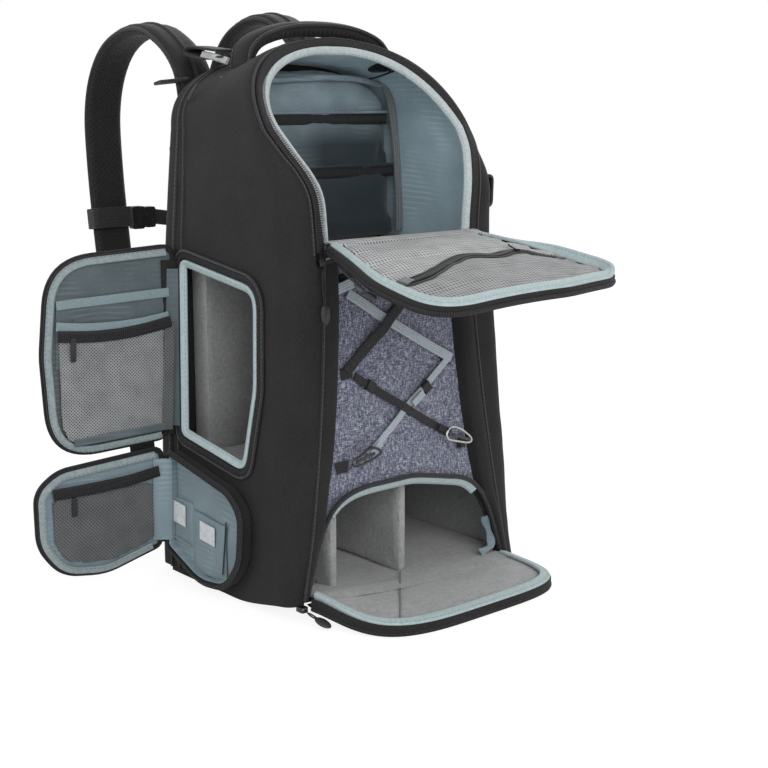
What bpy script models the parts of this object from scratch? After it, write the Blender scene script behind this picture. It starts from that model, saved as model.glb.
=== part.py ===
"""Camera backpack standing upright with its lids and doors open.

Metres, +Z up. The front faces -Y, the wearer's back is at +Y, and +X is on the right
seen from the front. The origin is on the floor under the middle of the base.
"""

import math

import bmesh
import bpy
from mathutils import Matrix, Vector

# Body: heights, depths and half widths of the outer surface
GAP = 0.0003
WALL = 0.005
BASE_TOP = 0.008
SIDE_FOOT = 0.0088
BASE_FRONT_Y = -0.1000
BASE_INSET = 0.014
SPRING_Z = 0.423
CROWN_Z = 0.4975
CROWN_FALL = 0.14
CROWN_POWER = 2.4
BULGE = 0.005
BULGE_Z = 0.41
BACK_Y = 0.0845
BACK_THICK = 0.018
BACK_GAP = 0.001
FRONT_Y = -0.105
FRONT_LEAN = 0.058
FRONT_TOP = 0.3105
FRONT_HALF_BASE = 0.143
FRONT_HALF_TAPER = 0.0520
BACK_HALF_BASE = 0.140
BACK_HALF_CURVE = 0.118
HOOD_SPLIT_Z = 0.40
RIM_LOW = (-0.090, 0.320)
RIM_HIGH = (-0.009, 0.490)

# Front panel, lower opening and lacing
HEATHER_TOP = 0.302
HEATHER_LOW = 0.116
HEATHER_SINK = 0.008
HEATHER_THICK = 0.006
BAND_THICK = 0.0077
BAND_LAP = 0.004
LOW_OPEN_HALF = 0.122
LOW_OPEN_TAPER = 0.028
LOW_OPEN_HIGH = 0.096
LOW_OPEN_POWER = 5.0
LACE_WIDTH = 0.008
LACE_NARROW = 0.0065
LACE_THICK = 0.0016
BLACK_LACE_W = -0.0040
GREY_LACE_W = -0.0016

# Lids and doors: hinge places and rest angles in degrees
TOP_HINGE = (-0.0905, 0.3215)
TOP_DROOP = 8.5
LOW_HINGE = (-0.1057, 0.0121)
LOW_FLAP_THICK = 0.0114
LOW_FLAP_HALF = 0.1235
LOW_FLAP_TAPER = 0.010
LOW_FLAP_NEAR = 0.0045
LOW_FLAP_LONG = 0.095
DOOR_HINGE_Y = 0.0730
DOOR_OUT = 0.0040
DOOR_THICK = 0.009
DOOR_OPEN = 108.0
CARD_OPEN = 102.0

# Inside the body
SHELF_THICK = 0.007
TOP_SHELF_Z = 0.311
CAMERA_SHELF_Z = 0.122
INNER_PAD_Y = 0.060
INNER_PAD_THICK = 0.0240
POCKET_PANEL_Y = 0.0665
POCKET_PANEL_THICK = 0.035
DIVIDER_THICK = 0.008

# Side pocket for cards
TRAY_BACK_X = -0.1432
TRAY_LEAN = 0.033
TRAY_DEEP = 0.012
TRAY_RIM = 0.003

# Carrying gear
STRAP_X = {"left": -0.080, "right": 0.068}
STRAP_WIDTH = 0.042
RIGHT_STRAP_LIFT = 0.014
STRAP_THICK = 0.014
WEB_WIDTH = 0.024
LOW_WEB_WIDTH = 0.030
WEB_THICK = 0.0024
HANDLE_Y = 0.031
HANDLE_DEEP = 0.028
HANDLE_THICK = 0.013


def clear_scene():
    for obj in list(bpy.data.objects):
        bpy.data.objects.remove(obj, do_unlink=True)


def collection(name):
    made = bpy.data.collections.new(name)
    bpy.context.scene.collection.children.link(made)
    return made


def material(name, colour, roughness, metallic=0.0):
    made = bpy.data.materials.new(name)
    made.use_nodes = True
    shader = made.node_tree.nodes["Principled BSDF"]
    shader.inputs["Base Color"].default_value = (*colour, 1.0)
    shader.inputs["Roughness"].default_value = roughness
    shader.inputs["Metallic"].default_value = metallic
    return made


clear_scene()
PARTS = collection("camera_backpack")
CUTTERS = collection("cutters")
BLACK_CLOTH = material("black_cloth", (0.020, 0.020, 0.021), 0.85)
HEATHER = material("heather_cloth", (0.150, 0.155, 0.220), 0.90)
LINING = material("blue_grey_lining", (0.180, 0.240, 0.280), 0.70)
FELT = material("grey_felt", (0.220, 0.220, 0.225), 0.95)
MESH = material("grey_mesh", (0.260, 0.280, 0.290), 0.80)
BLACK_WEB = material("black_webbing", (0.015, 0.015, 0.016), 0.75)
GREY_WEB = material("grey_webbing", (0.230, 0.290, 0.310), 0.75)
BLACK_PLASTIC = material("black_plastic", (0.012, 0.012, 0.013), 0.45)
GREY_RUBBER = material("grey_rubber", (0.080, 0.085, 0.090), 0.60)
STEEL = material("steel_wire", (0.550, 0.560, 0.570), 0.30, 1.0)
DARK_STEEL = material("dark_steel_wire", (0.100, 0.100, 0.105), 0.35, 1.0)


# Frames: a matrix from flat plan coordinates (u, v, w) to the world

def frame(origin, u_axis, v_axis):
    u_dir = Vector(u_axis).normalized()
    v_dir = Vector(v_axis)
    v_dir = (v_dir - u_dir * v_dir.dot(u_dir)).normalized()
    w_dir = u_dir.cross(v_dir)
    turned = Matrix((u_dir, v_dir, w_dir)).transposed().to_4x4()
    return Matrix.Translation(origin) @ turned


def upright(y):
    """A plan facing the front: u is X, v is Z, and w points to -Y."""
    return frame((0, y, 0), (1, 0, 0), (0, 0, 1))


def sideways(x):
    """A plan seen from the side: u is Y, v is Z, and w points to +X."""
    return frame((x, 0, 0), (0, 1, 0), (0, 0, 1))


def level(z):
    """A plan seen from above: u is X, v is Y, and w points up."""
    return Matrix.Translation((0, 0, z))


def sunk(plan, w):
    """The same plan moved along its own w axis."""
    return plan @ Matrix.Translation((0, 0, w))


FRONT = frame((0, FRONT_Y, 0), (1, 0, 0), (0, FRONT_LEAN, 1))


# Outlines in plan coordinates, counter-clockwise

def inset(corners, distance):
    """The polygon with every side moved inwards by the distance."""
    moved = []
    count = len(corners)
    for index in range(count):
        before = Vector(corners[index - 1])
        here = Vector(corners[index])
        after = Vector(corners[(index + 1) % count])
        first = (here - before).normalized()
        second = (after - here).normalized()
        normal = Vector((-first.y - second.y, first.x + second.x)).normalized()
        slant = max(0.3, normal.dot(Vector((-first.y, first.x))))
        moved.append(tuple(here + normal * distance / slant))
    return moved


def rounded(corners, radius, steps=4):
    """The polygon with each corner turned into an arc, of one radius or one for each corner."""
    points = []
    count = len(corners)
    radii = radius if isinstance(radius, list) else [radius] * count
    for index in range(count):
        here = Vector(corners[index])
        to_before = Vector(corners[index - 1]) - here
        to_after = Vector(corners[(index + 1) % count]) - here
        reach = min(radii[index], 0.45 * to_before.length, 0.45 * to_after.length)
        start = here + to_before.normalized() * reach
        end = here + to_after.normalized() * reach
        for step in range(steps + 1):
            t = step / steps
            points.append(tuple(start * (1 - t) ** 2 + here * 2 * t * (1 - t) + end * t ** 2))
    return points


def box_outline(u_low, u_high, v_low, v_high):
    return [(u_low, v_low), (u_high, v_low), (u_high, v_high), (u_low, v_high)]


def mirrored(half):
    """A closed outline from its right half, listed from bottom to top."""
    return half + [(-u, v) for u, v in reversed(half) if abs(u) > 1e-6]


def ribbon_outline(path, thickness):
    """The outline of a strip of even thickness along a path, with square ends."""
    points = [Vector(point) for point in path]
    left = []
    right = []
    for index, point in enumerate(points):
        before = points[max(index - 1, 0)]
        after = points[min(index + 1, len(points) - 1)]
        along = (after - before).normalized()
        across = Vector((-along.y, along.x)) * thickness / 2
        left.append(tuple(point + across))
        right.append(tuple(point - across))
    return right + left[::-1]


def smooth_path(points, steps=3):
    """Points on a smooth curve through the given ones."""
    knots = [Vector(point) for point in points]
    ends = [knots[0] * 2 - knots[1]] + knots + [knots[-1] * 2 - knots[-2]]
    path = []
    for index in range(1, len(ends) - 2):
        a, b, c, d = ends[index - 1:index + 3]
        for step in range(steps):
            t = step / steps
            path.append((b * 2 + (c - a) * t + (a * 2 - b * 5 + c * 4 - d) * t ** 2
                         + (b * 3 - a - c * 3 + d) * t ** 3) / 2)
    return path + [knots[-1]]


# Makers of solids

def place(obj, plan, paint, parent=None):
    obj.data.materials.append(paint)
    PARTS.objects.link(obj)
    obj.parent = parent
    obj.matrix_basis = plan
    return obj


def plate(name, outline, thickness, plan, paint, parent=None, holes=()):
    """A flat piece with the given outline, centred on its plan."""
    data = bpy.data.curves.new(name, "CURVE")
    data.dimensions = "2D"
    data.fill_mode = "BOTH"
    data.extrude = thickness / 2
    for loop in (outline, *holes):
        spline = data.splines.new("POLY")
        spline.points.add(len(loop) - 1)
        for point, (u, v) in zip(spline.points, loop):
            point.co = (u, v, 0, 1)
        spline.use_cyclic_u = True
    return place(bpy.data.objects.new(name, data), plan, paint, parent)


def wire(name, points, radius, plan, paint, parent=None, closed=False):
    """A round wire along the points."""
    data = bpy.data.curves.new(name, "CURVE")
    data.dimensions = "3D"
    data.bevel_depth = radius
    data.bevel_resolution = 2
    data.use_fill_caps = True
    spline = data.splines.new("POLY")
    spline.points.add(len(points) - 1)
    for point, place_at in zip(spline.points, points):
        point.co = (*place_at, 1)
    spline.use_cyclic_u = closed
    return place(bpy.data.objects.new(name, data), plan, paint, parent)


def as_mesh(obj):
    """The curve object made a mesh object of the same name, with its caps joined on."""
    bpy.context.view_layer.update()
    graph = bpy.context.evaluated_depsgraph_get()
    data = bpy.data.meshes.new_from_object(obj.evaluated_get(graph))
    work = bmesh.new()
    work.from_mesh(data)
    bmesh.ops.remove_doubles(work, verts=work.verts, dist=1e-6)
    work.to_mesh(data)
    work.free()
    name, parent, basis = obj.name, obj.parent, obj.matrix_basis.copy()
    bpy.data.objects.remove(obj, do_unlink=True)
    data.name = name
    made = bpy.data.objects.new(name, data)
    PARTS.objects.link(made)
    made.parent = parent
    made.matrix_basis = basis
    return made


def cut(target, cutter, operation="DIFFERENCE"):
    """Cut the target with the cutter, or join the two, and put the cutter away."""
    PARTS.objects.unlink(cutter)
    CUTTERS.objects.link(cutter)
    cutter.hide_render = True
    cutter.display_type = "WIRE"
    step = target.modifiers.new(f"{operation}_{cutter.name}".lower(), "BOOLEAN")
    step.operation = operation
    step.object = cutter


def sleeve(name, width, thickness, length, wall, plan, paint, parent=None):
    """A short flat tube that a strap runs through along w, as on a slider or a buckle."""
    outer = rounded(box_outline(-width / 2 - wall, width / 2 + wall,
                                -thickness / 2 - wall, thickness / 2 + wall), wall)
    hole = box_outline(-width / 2, width / 2, -thickness / 2, thickness / 2)
    return plate(name, outer, length, plan, paint, parent, holes=(hole,))


def hinge(name, plan):
    """An empty on a hinge line, which carries the pieces that turn about it."""
    made = bpy.data.objects.new(name, None)
    PARTS.objects.link(made)
    made.matrix_basis = plan
    return made


# The body's outer surface

def front_y(z):
    return FRONT_Y + FRONT_LEAN * z


def front_half(z):
    bulge = BULGE * max(0.0, 1 - ((z - BULGE_Z) / 0.09) ** 2)
    return FRONT_HALF_BASE - FRONT_HALF_TAPER * z + bulge


def back_half(z):
    return BACK_HALF_BASE - BACK_HALF_CURVE * z ** 2


def corner_radius(z):
    return min(0.012 + 0.03 * z, 0.020)


def seam_half(z):
    """Half the distance between the two seams on the front."""
    return 0.128 - 0.215 * z + 0.27 * z ** 2


def heather_half(z):
    return 0.068 + 0.0225 * ((0.30 - z) / 0.20) ** 2


def side_half(y, z):
    """Half width of the body behind its rounded front corners."""
    start = front_y(z) + corner_radius(z)
    share = min(max((y - start) / (BACK_Y - start), 0.0), 1.0)
    return front_half(z) + (back_half(z) - front_half(z)) * share


def crown(y):
    return CROWN_Z - CROWN_FALL * y


def arch_half(y, z):
    """Half width at any height, with the round top above the spring line."""
    if z <= SPRING_Z:
        return side_half(y, z)
    rise = min((z - SPRING_Z) / (crown(y) - SPRING_Z), 1.0)
    return side_half(y, SPRING_Z) * (1 - rise ** CROWN_POWER) ** (1 / CROWN_POWER)


def rim_y(z):
    """Depth of the sloping plane of the top opening at a height."""
    slope = (RIM_HIGH[0] - RIM_LOW[0]) / (RIM_HIGH[1] - RIM_LOW[1])
    return RIM_LOW[0] + slope * (z - RIM_LOW[1])


RIM_NORMAL = (0, -(RIM_HIGH[1] - RIM_LOW[1]), RIM_HIGH[0] - RIM_LOW[0])


def arch_section(y, spring=SPRING_Z, steps=8):
    """Right half of the arched top at a depth, from the spring line to the crown."""
    points = []
    for step in range(steps + 1):
        angle = math.pi / 2 * step / steps
        across = math.cos(angle) ** (2 / CROWN_POWER)
        rise = math.sin(angle) ** (2 / CROWN_POWER)
        points.append((side_half(y, spring) * across, spring + (crown(y) - spring) * rise))
    return points


def grid_surface(rows):
    """An open surface through rows of points, facing to the left of each row's run."""
    work = bmesh.new()
    verts = [[work.verts.new(point) for point in row] for row in rows]
    for low, high in zip(verts, verts[1:]):
        for a, b, c, d in zip(low, low[1:], high[1:], high):
            work.faces.new((a, b, c, d))
    return work


def keep_below(work, point, normal):
    """Cut away what lies beyond a plane."""
    bmesh.ops.bisect_plane(work, geom=work.verts[:] + work.edges[:] + work.faces[:],
                           plane_co=point, plane_no=normal, clear_outer=True)


def shell(name, work, paint):
    """A wall of even thickness inside an open surface."""
    data = bpy.data.meshes.new(name)
    work.to_mesh(data)
    work.free()
    obj = place(bpy.data.objects.new(name, data), Matrix(), paint)
    thick = obj.modifiers.new("wall", "SOLIDIFY")
    thick.thickness = WALL
    thick.offset = -1
    return obj


def side_row(z, sign):
    """One level line of a side panel, from the back edge round the front corner to the seam."""
    radius = corner_radius(z)
    corner = front_y(z) + radius
    row = []
    for step in range(6):
        y = BACK_Y + (corner - BACK_Y) * step / 5
        row.append((sign * side_half(y, z), y, z))
    middle = side_half(corner, z) - radius
    for angle in (30, 60, 90):
        turn = math.radians(angle)
        row.append((sign * (middle + radius * math.cos(turn)), corner - radius * math.sin(turn), z))
    row.append((sign * seam_half(z), front_y(z), z))
    return row


def make_side_panel(name, sign):
    heights = [SIDE_FOOT + (SPRING_Z - SIDE_FOOT) * step / 7 for step in range(8)]
    rows = [side_row(z, sign) for z in heights]
    work = grid_surface(rows if sign < 0 else [row[::-1] for row in rows])
    keep_below(work, (0, *RIM_LOW), RIM_NORMAL)
    keep_below(work, (0, 0, HOOD_SPLIT_Z), (0, 0, 1))
    return shell(name, work, BLACK_CLOTH)


def make_hood():
    """The arched top between the side panels, from the back panel to the sloping rim."""
    low = HOOD_SPLIT_Z - 0.01
    rows = []
    for step in range(9):
        y = BACK_Y + (rim_y(low) - 0.004 - BACK_Y) * step / 8
        half = [(side_half(y, low), low)] + arch_section(y)
        rows.append([(x, y, z) for x, z in half] + [(-x, y, z) for x, z in half[-2::-1]])
    work = grid_surface(rows)
    keep_below(work, (0, *RIM_LOW), RIM_NORMAL)
    keep_below(work, (0, 0, HOOD_SPLIT_Z + GAP), (0, 0, -1))
    return shell("top_hood", work, BLACK_CLOTH)


def arch_outline(y, low, shrink):
    """The whole front-on outline of the body at a depth, drawn in by a margin."""
    half = [(side_half(y, z) - shrink, z) for z in (low, 0.5 * (low + SPRING_Z))]
    for x, z in arch_section(y):
        away = Vector((x / side_half(y, SPRING_Z), (z - SPRING_Z) / (crown(y) - SPRING_Z)))
        away.normalize()
        half.append((max(x - shrink * away.x, 0), z - shrink * away.y))
    return mirrored(half)


def plan_outline(z, front, back, shrink):
    """The outline of a shelf or base: the body's plan at a height, drawn in by a margin."""
    half = []
    for step in range(6):
        y = front + (back - front) * step / 5
        half.append((side_half(y, z) - shrink, y))
    return mirrored(half)


def make_base():
    """The bottom, with its edges sloping in towards the floor."""
    top = rounded(plan_outline(0.0, BASE_FRONT_Y, BACK_Y + BACK_THICK, 0.002), 0.012)
    foot = rounded(plan_outline(0.0, BASE_FRONT_Y + 0.008, BACK_Y + BACK_THICK - 0.008, BASE_INSET), 0.012)
    work = bmesh.new()
    low = [work.verts.new((x, y, 0.0)) for x, y in foot]
    high = [work.verts.new((x, y, BASE_TOP)) for x, y in top]
    work.faces.new(low[::-1])
    work.faces.new(high)
    for index in range(len(low)):
        after = (index + 1) % len(low)
        work.faces.new((low[index], low[after], high[after], high[index]))
    data = bpy.data.meshes.new("base_panel")
    work.to_mesh(data)
    work.free()
    place(bpy.data.objects.new("base_panel", data), Matrix(), BLACK_CLOTH)


def make_body():
    make_base()
    back = arch_outline(BACK_Y, BASE_TOP + GAP, 0.0)
    plate("back_panel", back, BACK_THICK, upright(BACK_Y + BACK_GAP + BACK_THICK / 2), BLACK_CLOTH)
    left = make_side_panel("left_side_panel", -1)
    cutter = as_mesh(plate("door_opening", rounded(DOOR_CORNERS, 0.026), 0.08,
                           sideways(-0.13), BLACK_CLOTH))
    cut(left, cutter)
    make_side_panel("right_side_panel", 1)
    make_hood()


# Front: a black band round the heather panel and the lower opening

def low_arch(half_width, taper, low, high, steps=10):
    """Right half of a squarish arch, from its foot to its crown."""
    half = []
    for step in range(steps + 1):
        angle = math.pi / 2 * step / steps
        across = max(math.cos(angle), 0.0) ** (2 / LOW_OPEN_POWER)
        rise = math.sin(angle) ** (2 / LOW_OPEN_POWER)
        half.append(((half_width - taper * rise) * across, low + (high - low) * rise))
    half[-1] = (0.0, high)
    return half


def heather_outline(margin):
    heights = [HEATHER_LOW + (HEATHER_TOP - HEATHER_LOW) * step / 4 for step in range(5)]
    half = [(0.0, HEATHER_LOW + margin)]
    half += [(heather_half(z) - margin, z) for z in heights]
    half[1] = (half[1][0], HEATHER_LOW - 0.003 + margin)
    half[-1] = (half[-1][0], HEATHER_TOP - margin)
    return half[:1] + half[1:] + [(-u, v) for u, v in reversed(half[1:])]


def make_front():
    heights = [SIDE_FOOT + (FRONT_TOP - SIDE_FOOT) * step / 6 for step in range(7)]
    outer = [(seam_half(z) - 0.0006, z) for z in heights]
    arch = low_arch(LOW_OPEN_HALF, LOW_OPEN_TAPER, SIDE_FOOT, BASE_TOP + LOW_OPEN_HIGH)
    band = outer + [(-u, v) for u, v in reversed(outer)]
    band += [(-u, v) for u, v in arch[:-1]] + arch[::-1]
    plate("front_band", band, BAND_THICK, sunk(FRONT, -BAND_THICK / 2), BLACK_CLOTH,
          holes=(heather_outline(0.0),))
    plate("front_panel", heather_outline(-BAND_LAP), HEATHER_THICK,
          sunk(FRONT, -HEATHER_SINK - HEATHER_THICK / 2), HEATHER)


# Lacing over the front panel: two grey and two black straps with sliders, loops and hooks

GREY_HIGH = ((-0.0600, 0.2830), (0.0565, 0.2160))
GREY_LOW = ((0.0540, 0.2060), (-0.0440, 0.1350))
BLACK_HIGH = ((0.0420, 0.2980), (-0.0590, 0.2180))
BLACK_LOW = ((-0.0550, 0.2080), (0.0560, 0.1400))
LOOP_SIZE = (0.010, 0.012)
LOOPS = {
    "lace_loop_high_left": (-0.0620, 0.2950),
    "lace_loop_mid_left": (-0.0655, 0.2120),
    "lace_loop_mid_right": (0.0630, 0.2100),
    "lace_loop_low_left": (-0.0755, 0.1285),
    "lace_loop_low_right": (0.0784, 0.1275),
}


def strip(name, ends, width, w, paint):
    return plate(name, ribbon_outline(ends, width), LACE_THICK, sunk(FRONT, w), paint)


def point_on(ends, share):
    return Vector(ends[0]).lerp(Vector(ends[1]), share)


def lace_plan(ends, share, w):
    """A frame on a strap with its w axis along the strap, for a slider or a hook."""
    along = (Vector(ends[1]) - Vector(ends[0])).normalized()
    middle = point_on(ends, share)
    local = frame((middle.x, middle.y, w), (-along.y, along.x, 0), (0, 0, 1))
    return FRONT @ local


def make_hook(name, ends, paint):
    """A long wire hook in line with the end of a strap, lying just past it."""
    along = (Vector(ends[1]) - Vector(ends[0])).normalized()
    across = Vector((-along.y, along.x))
    start = Vector(ends[1]) + along * 0.0022
    shape = ((0.0, -0.0042), (0.0, 0.0042), (0.010, 0.0030), (0.0155, 0.0))
    points = [start + along * a + across * b for a, b in shape]
    points.append(start + along * 0.010 - across * 0.0030)
    wire(name, [(p.x, p.y, 0) for p in points], 0.0011, sunk(FRONT, -0.0022), paint, closed=True)


def make_lacing():
    strip("grey_lace_high", GREY_HIGH, LACE_WIDTH, GREY_LACE_W, GREY_WEB)
    strip("grey_lace_low", GREY_LOW, LACE_NARROW, GREY_LACE_W, GREY_WEB)
    strip("black_lace_high", BLACK_HIGH, LACE_WIDTH, BLACK_LACE_W, BLACK_WEB)
    strip("black_lace_low", BLACK_LOW, LACE_NARROW, BLACK_LACE_W, BLACK_WEB)
    for name, ends, share, w in (("grey_lace_slider", GREY_LOW, 0.26, GREY_LACE_W),
                                 ("black_lace_slider", BLACK_LOW, 0.16, BLACK_LACE_W)):
        sleeve(name, LACE_NARROW + 0.001, LACE_THICK + 0.0008, 0.009, 0.0011,
               lace_plan(ends, share, w), BLACK_PLASTIC)
    make_hook("dark_lace_hook", GREY_LOW, DARK_STEEL)
    make_hook("steel_lace_hook", BLACK_LOW, STEEL)
    for name, (u, v) in LOOPS.items():
        wide, high = LOOP_SIZE
        outline = rounded(box_outline(u - wide / 2, u + wide / 2, v - high / 2, v + high / 2), 0.002)
        plate(name, outline, 0.0052, sunk(FRONT, -0.0051), BLACK_WEB)


# Inside: shelves, padded dividers and the zipped pocket panel of the top compartment

def shelf_outline(z):
    """A shelf between the walls, with a narrower tongue behind the front panel."""
    wide = plan_outline(z, front_y(z) + 0.024, INNER_PAD_Y - GAP, WALL + 0.002)
    tongue_y = front_y(z) + 0.015
    half = heather_half(z) - 0.004
    return wide + [(-half, tongue_y + 0.008), (-half, tongue_y), (half, tongue_y), (half, tongue_y + 0.008)]


def make_inside():
    for name, z in (("top_shelf", TOP_SHELF_Z), ("camera_shelf", CAMERA_SHELF_Z)):
        plate(name, shelf_outline(z - SHELF_THICK), SHELF_THICK, level(z - SHELF_THICK / 2), FELT)
    plate("inner_back_pad", rounded(box_outline(-0.112, 0.112, BASE_TOP + GAP, TOP_SHELF_Z), 0.008),
          INNER_PAD_THICK, upright(INNER_PAD_Y + INNER_PAD_THICK / 2), FELT)
    low = BASE_TOP + GAP
    high = CAMERA_SHELF_Z - SHELF_THICK - GAP
    for name, x in (("low_divider_middle", 0.010), ("low_divider_left", -0.074)):
        plate(name, rounded(box_outline(-0.082, INNER_PAD_Y - GAP, low, high), 0.006),
              DIVIDER_THICK, sideways(x), FELT)
    plate("top_pocket_panel", arch_outline(POCKET_PANEL_Y, TOP_SHELF_Z + GAP, 0.012), POCKET_PANEL_THICK,
          upright(POCKET_PANEL_Y), LINING)


# Card pocket on the left side: a shallow tray with two card slots

CARD_CORNERS = [(-0.023, 0.013), (0.019, 0.009), (0.073, 0.031), (0.073, 0.126),
                (-0.027, 0.105), (-0.047, 0.088), (-0.045, 0.042)]
CARD_SLOTS = ((-0.015, 0.034), (0.029, 0.046))
CARD_EDGE = [(-0.024, 0.016), (0.018, 0.013), (0.072, 0.033), (0.073, 0.127),
             (-0.026, 0.113), (-0.047, 0.096), (-0.045, 0.044)]
CARD_HINGE_Y = 0.0745
TRAY = frame((TRAY_BACK_X, 0, 0), (0, 1, 0), (TRAY_LEAN, 0, 1))


def make_card_pocket():
    outline = rounded(CARD_CORNERS, 0.012)
    hollow = rounded(inset(CARD_CORNERS, TRAY_RIM), 0.010)
    floor = 0.002
    tray = as_mesh(plate("card_tray", outline, TRAY_DEEP, sunk(TRAY, -TRAY_DEEP / 2), BLACK_CLOTH))
    cutter = as_mesh(plate("card_tray_hollow", hollow, TRAY_DEEP,
                           sunk(TRAY, -TRAY_DEEP / 2 - floor), BLACK_CLOTH))
    cut(tray, cutter)
    slots = as_mesh(plate("card_slots", rounded(inset(CARD_CORNERS, TRAY_RIM + 0.002), 0.009), 0.0012,
                          sunk(TRAY, -floor - GAP - 0.0006), LINING))
    for index, (u, v) in enumerate(CARD_SLOTS):
        pocket = as_mesh(plate(f"card_slot_{index + 1}",
                               box_outline(u - 0.014, u + 0.014, v, v + 0.036), 0.0014,
                               sunk(TRAY, -floor - GAP - 0.0017), LINING))
        cut(slots, pocket, "UNION")


# Lids and doors

DOOR_CORNERS = [(-0.036, 0.124), (0.062, 0.141), (0.070, 0.305), (-0.046, 0.288), (-0.050, 0.200)]
DOOR_EDGE = [(-0.041, 0.1195), (0.0665, 0.1365), (0.070, 0.3165), (-0.048, 0.302), (-0.0535, 0.205)]
DOOR_RADII = [0.042, 0.010, 0.010, 0.048, 0.030]


def top_flap_half(share_up):
    """Half width of the top flap at a distance from its hinge."""
    rise = (RIM_HIGH[1] - RIM_LOW[1]) / math.hypot(RIM_HIGH[0] - RIM_LOW[0], RIM_HIGH[1] - RIM_LOW[1])
    z = TOP_HINGE[1] + rise * share_up
    margin = 0.008 + 0.15 * max(0.0, share_up - 0.14)
    return min(0.0836 + max(0.0, share_up - 0.015), arch_half(rim_y(z), z) - margin)


TOP_FLAP_NEAR = 0.005
TOP_FLAP_FAR = 0.184


def top_flap_outline(margin):
    half = []
    for step in range(13):
        share = math.sin(math.pi / 2 * step / 12)
        along = TOP_FLAP_NEAR + margin + (TOP_FLAP_FAR - TOP_FLAP_NEAR - 2 * margin) * share
        half.append((top_flap_half(along) - margin, along))
    return mirrored(half)


def make_top_flap():
    droop = math.radians(TOP_DROOP)
    out = (0, -math.cos(droop), -math.sin(droop))
    plan = frame((0, *TOP_HINGE), (-1, 0, 0), out)
    carrier = hinge("top_flap_hinge", plan)
    plate("top_flap", top_flap_outline(0.0), 0.012, level(0.0), BLACK_CLOTH, carrier)
    plate("top_flap_pocket", top_flap_outline(0.013), 0.004, level(0.006 + GAP + 0.002), MESH, carrier)
    pull_plan = Matrix.Translation((-0.066, 0.070, 0.0113))
    pull(
        "top_pocket_pull", pull_plan @ Matrix.Rotation(math.radians(155), 4, "Z"), carrier)


def pull(name, plan, parent, length=0.020, width=0.005, paint=BLACK_PLASTIC):
    """A flat zip pull that hangs from its pivot at the plan's origin along -v."""
    outline = rounded(box_outline(-width / 2, width / 2, -length, 0.002), width / 2.2)
    return plate(name, outline, 0.0016, plan, paint, parent)


def make_low_flap():
    """The lower flap lying open on the floor; it laps over the front band when shut."""
    plan = frame((0, *LOW_HINGE), (-1, 0, 0), (0, -1, 0))
    carrier = hinge("low_flap_hinge", plan)
    outline = mirrored(low_arch(LOW_FLAP_HALF, LOW_FLAP_TAPER, LOW_FLAP_NEAR, LOW_FLAP_LONG))
    plate("low_flap", outline, LOW_FLAP_THICK, level(-GAP - LOW_FLAP_THICK / 2), BLACK_CLOTH, carrier)


def door_plan(hinge_y, low, high, out, opened):
    """The hinge plan of a side door: u runs to its free edge, v up its hinge, at rest open."""
    foot = Vector((-side_half(hinge_y, low) - out, hinge_y, low))
    head = Vector((-side_half(hinge_y, high) - out, hinge_y, high))
    axis = (head - foot).normalized()
    foot = foot - axis * foot.z / axis.z
    ahead = hinge_y - 0.12
    middle = 0.5 * (low + high)
    shut = Vector((side_half(hinge_y, middle) - side_half(ahead, middle), ahead - hinge_y, 0))
    swing = Matrix.Rotation(math.radians(-opened), 3, axis)
    return frame(foot, swing @ shut, axis)


def make_side_door():
    """The camera door, which laps over the edge of its opening when shut."""
    plan = door_plan(DOOR_HINGE_Y, 0.13, 0.31, DOOR_OUT, DOOR_OPEN)
    carrier = hinge("side_door_hinge", plan)
    corners = [(DOOR_HINGE_Y - u, v) for u, v in reversed(DOOR_EDGE)]
    plate("side_door", rounded(corners, DOOR_RADII[::-1]), DOOR_THICK, level(DOOR_THICK / 2), BLACK_CLOTH, carrier)
    pocket = [(0.020, 0.160), (0.098, 0.150), (0.104, 0.238), (0.020, 0.250)]
    plate("side_door_pocket", rounded(pocket, 0.008), 0.006, level(-GAP - 0.003), MESH, carrier)
    pull("side_door_pull", Matrix.Translation((0.097, 0.232, -0.0076)), carrier)


def make_card_door():
    """The card pocket's cover, hinged on the tray's back edge at its outer face."""
    foot = TRAY @ Vector((CARD_HINGE_Y, 0, -TRAY_DEEP - 0.0015))
    axis = TRAY.to_3x3() @ Vector((0, 1, 0))
    shut = TRAY.to_3x3() @ Vector((-1, 0, 0))
    swing = Matrix.Rotation(math.radians(-CARD_OPEN), 3, axis)
    plan = frame(foot, swing @ shut, axis)
    carrier = hinge("card_door_hinge", plan)
    corners = [(CARD_HINGE_Y - u, v) for u, v in reversed(CARD_EDGE)]
    plate("card_door", rounded(corners, 0.016), 0.007, level(0.0035 - 0.0008), BLACK_CLOTH,
          carrier)
    pocket = rounded(inset(corners, TRAY_RIM + 0.009), 0.008)
    plate("card_door_pocket", pocket, 0.0035, level(-0.0008 - GAP - 0.00175), MESH, carrier)
    pull("card_door_pull", Matrix.Translation((0.088, 0.088, -0.0056)), carrier, length=0.016)


# Zip sliders with hanging pulls at the ends of the two main zips

TOP_SLIDER = (-0.0930, 0.3150)
LOW_SLIDER = (-0.1305, -0.1080)


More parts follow.
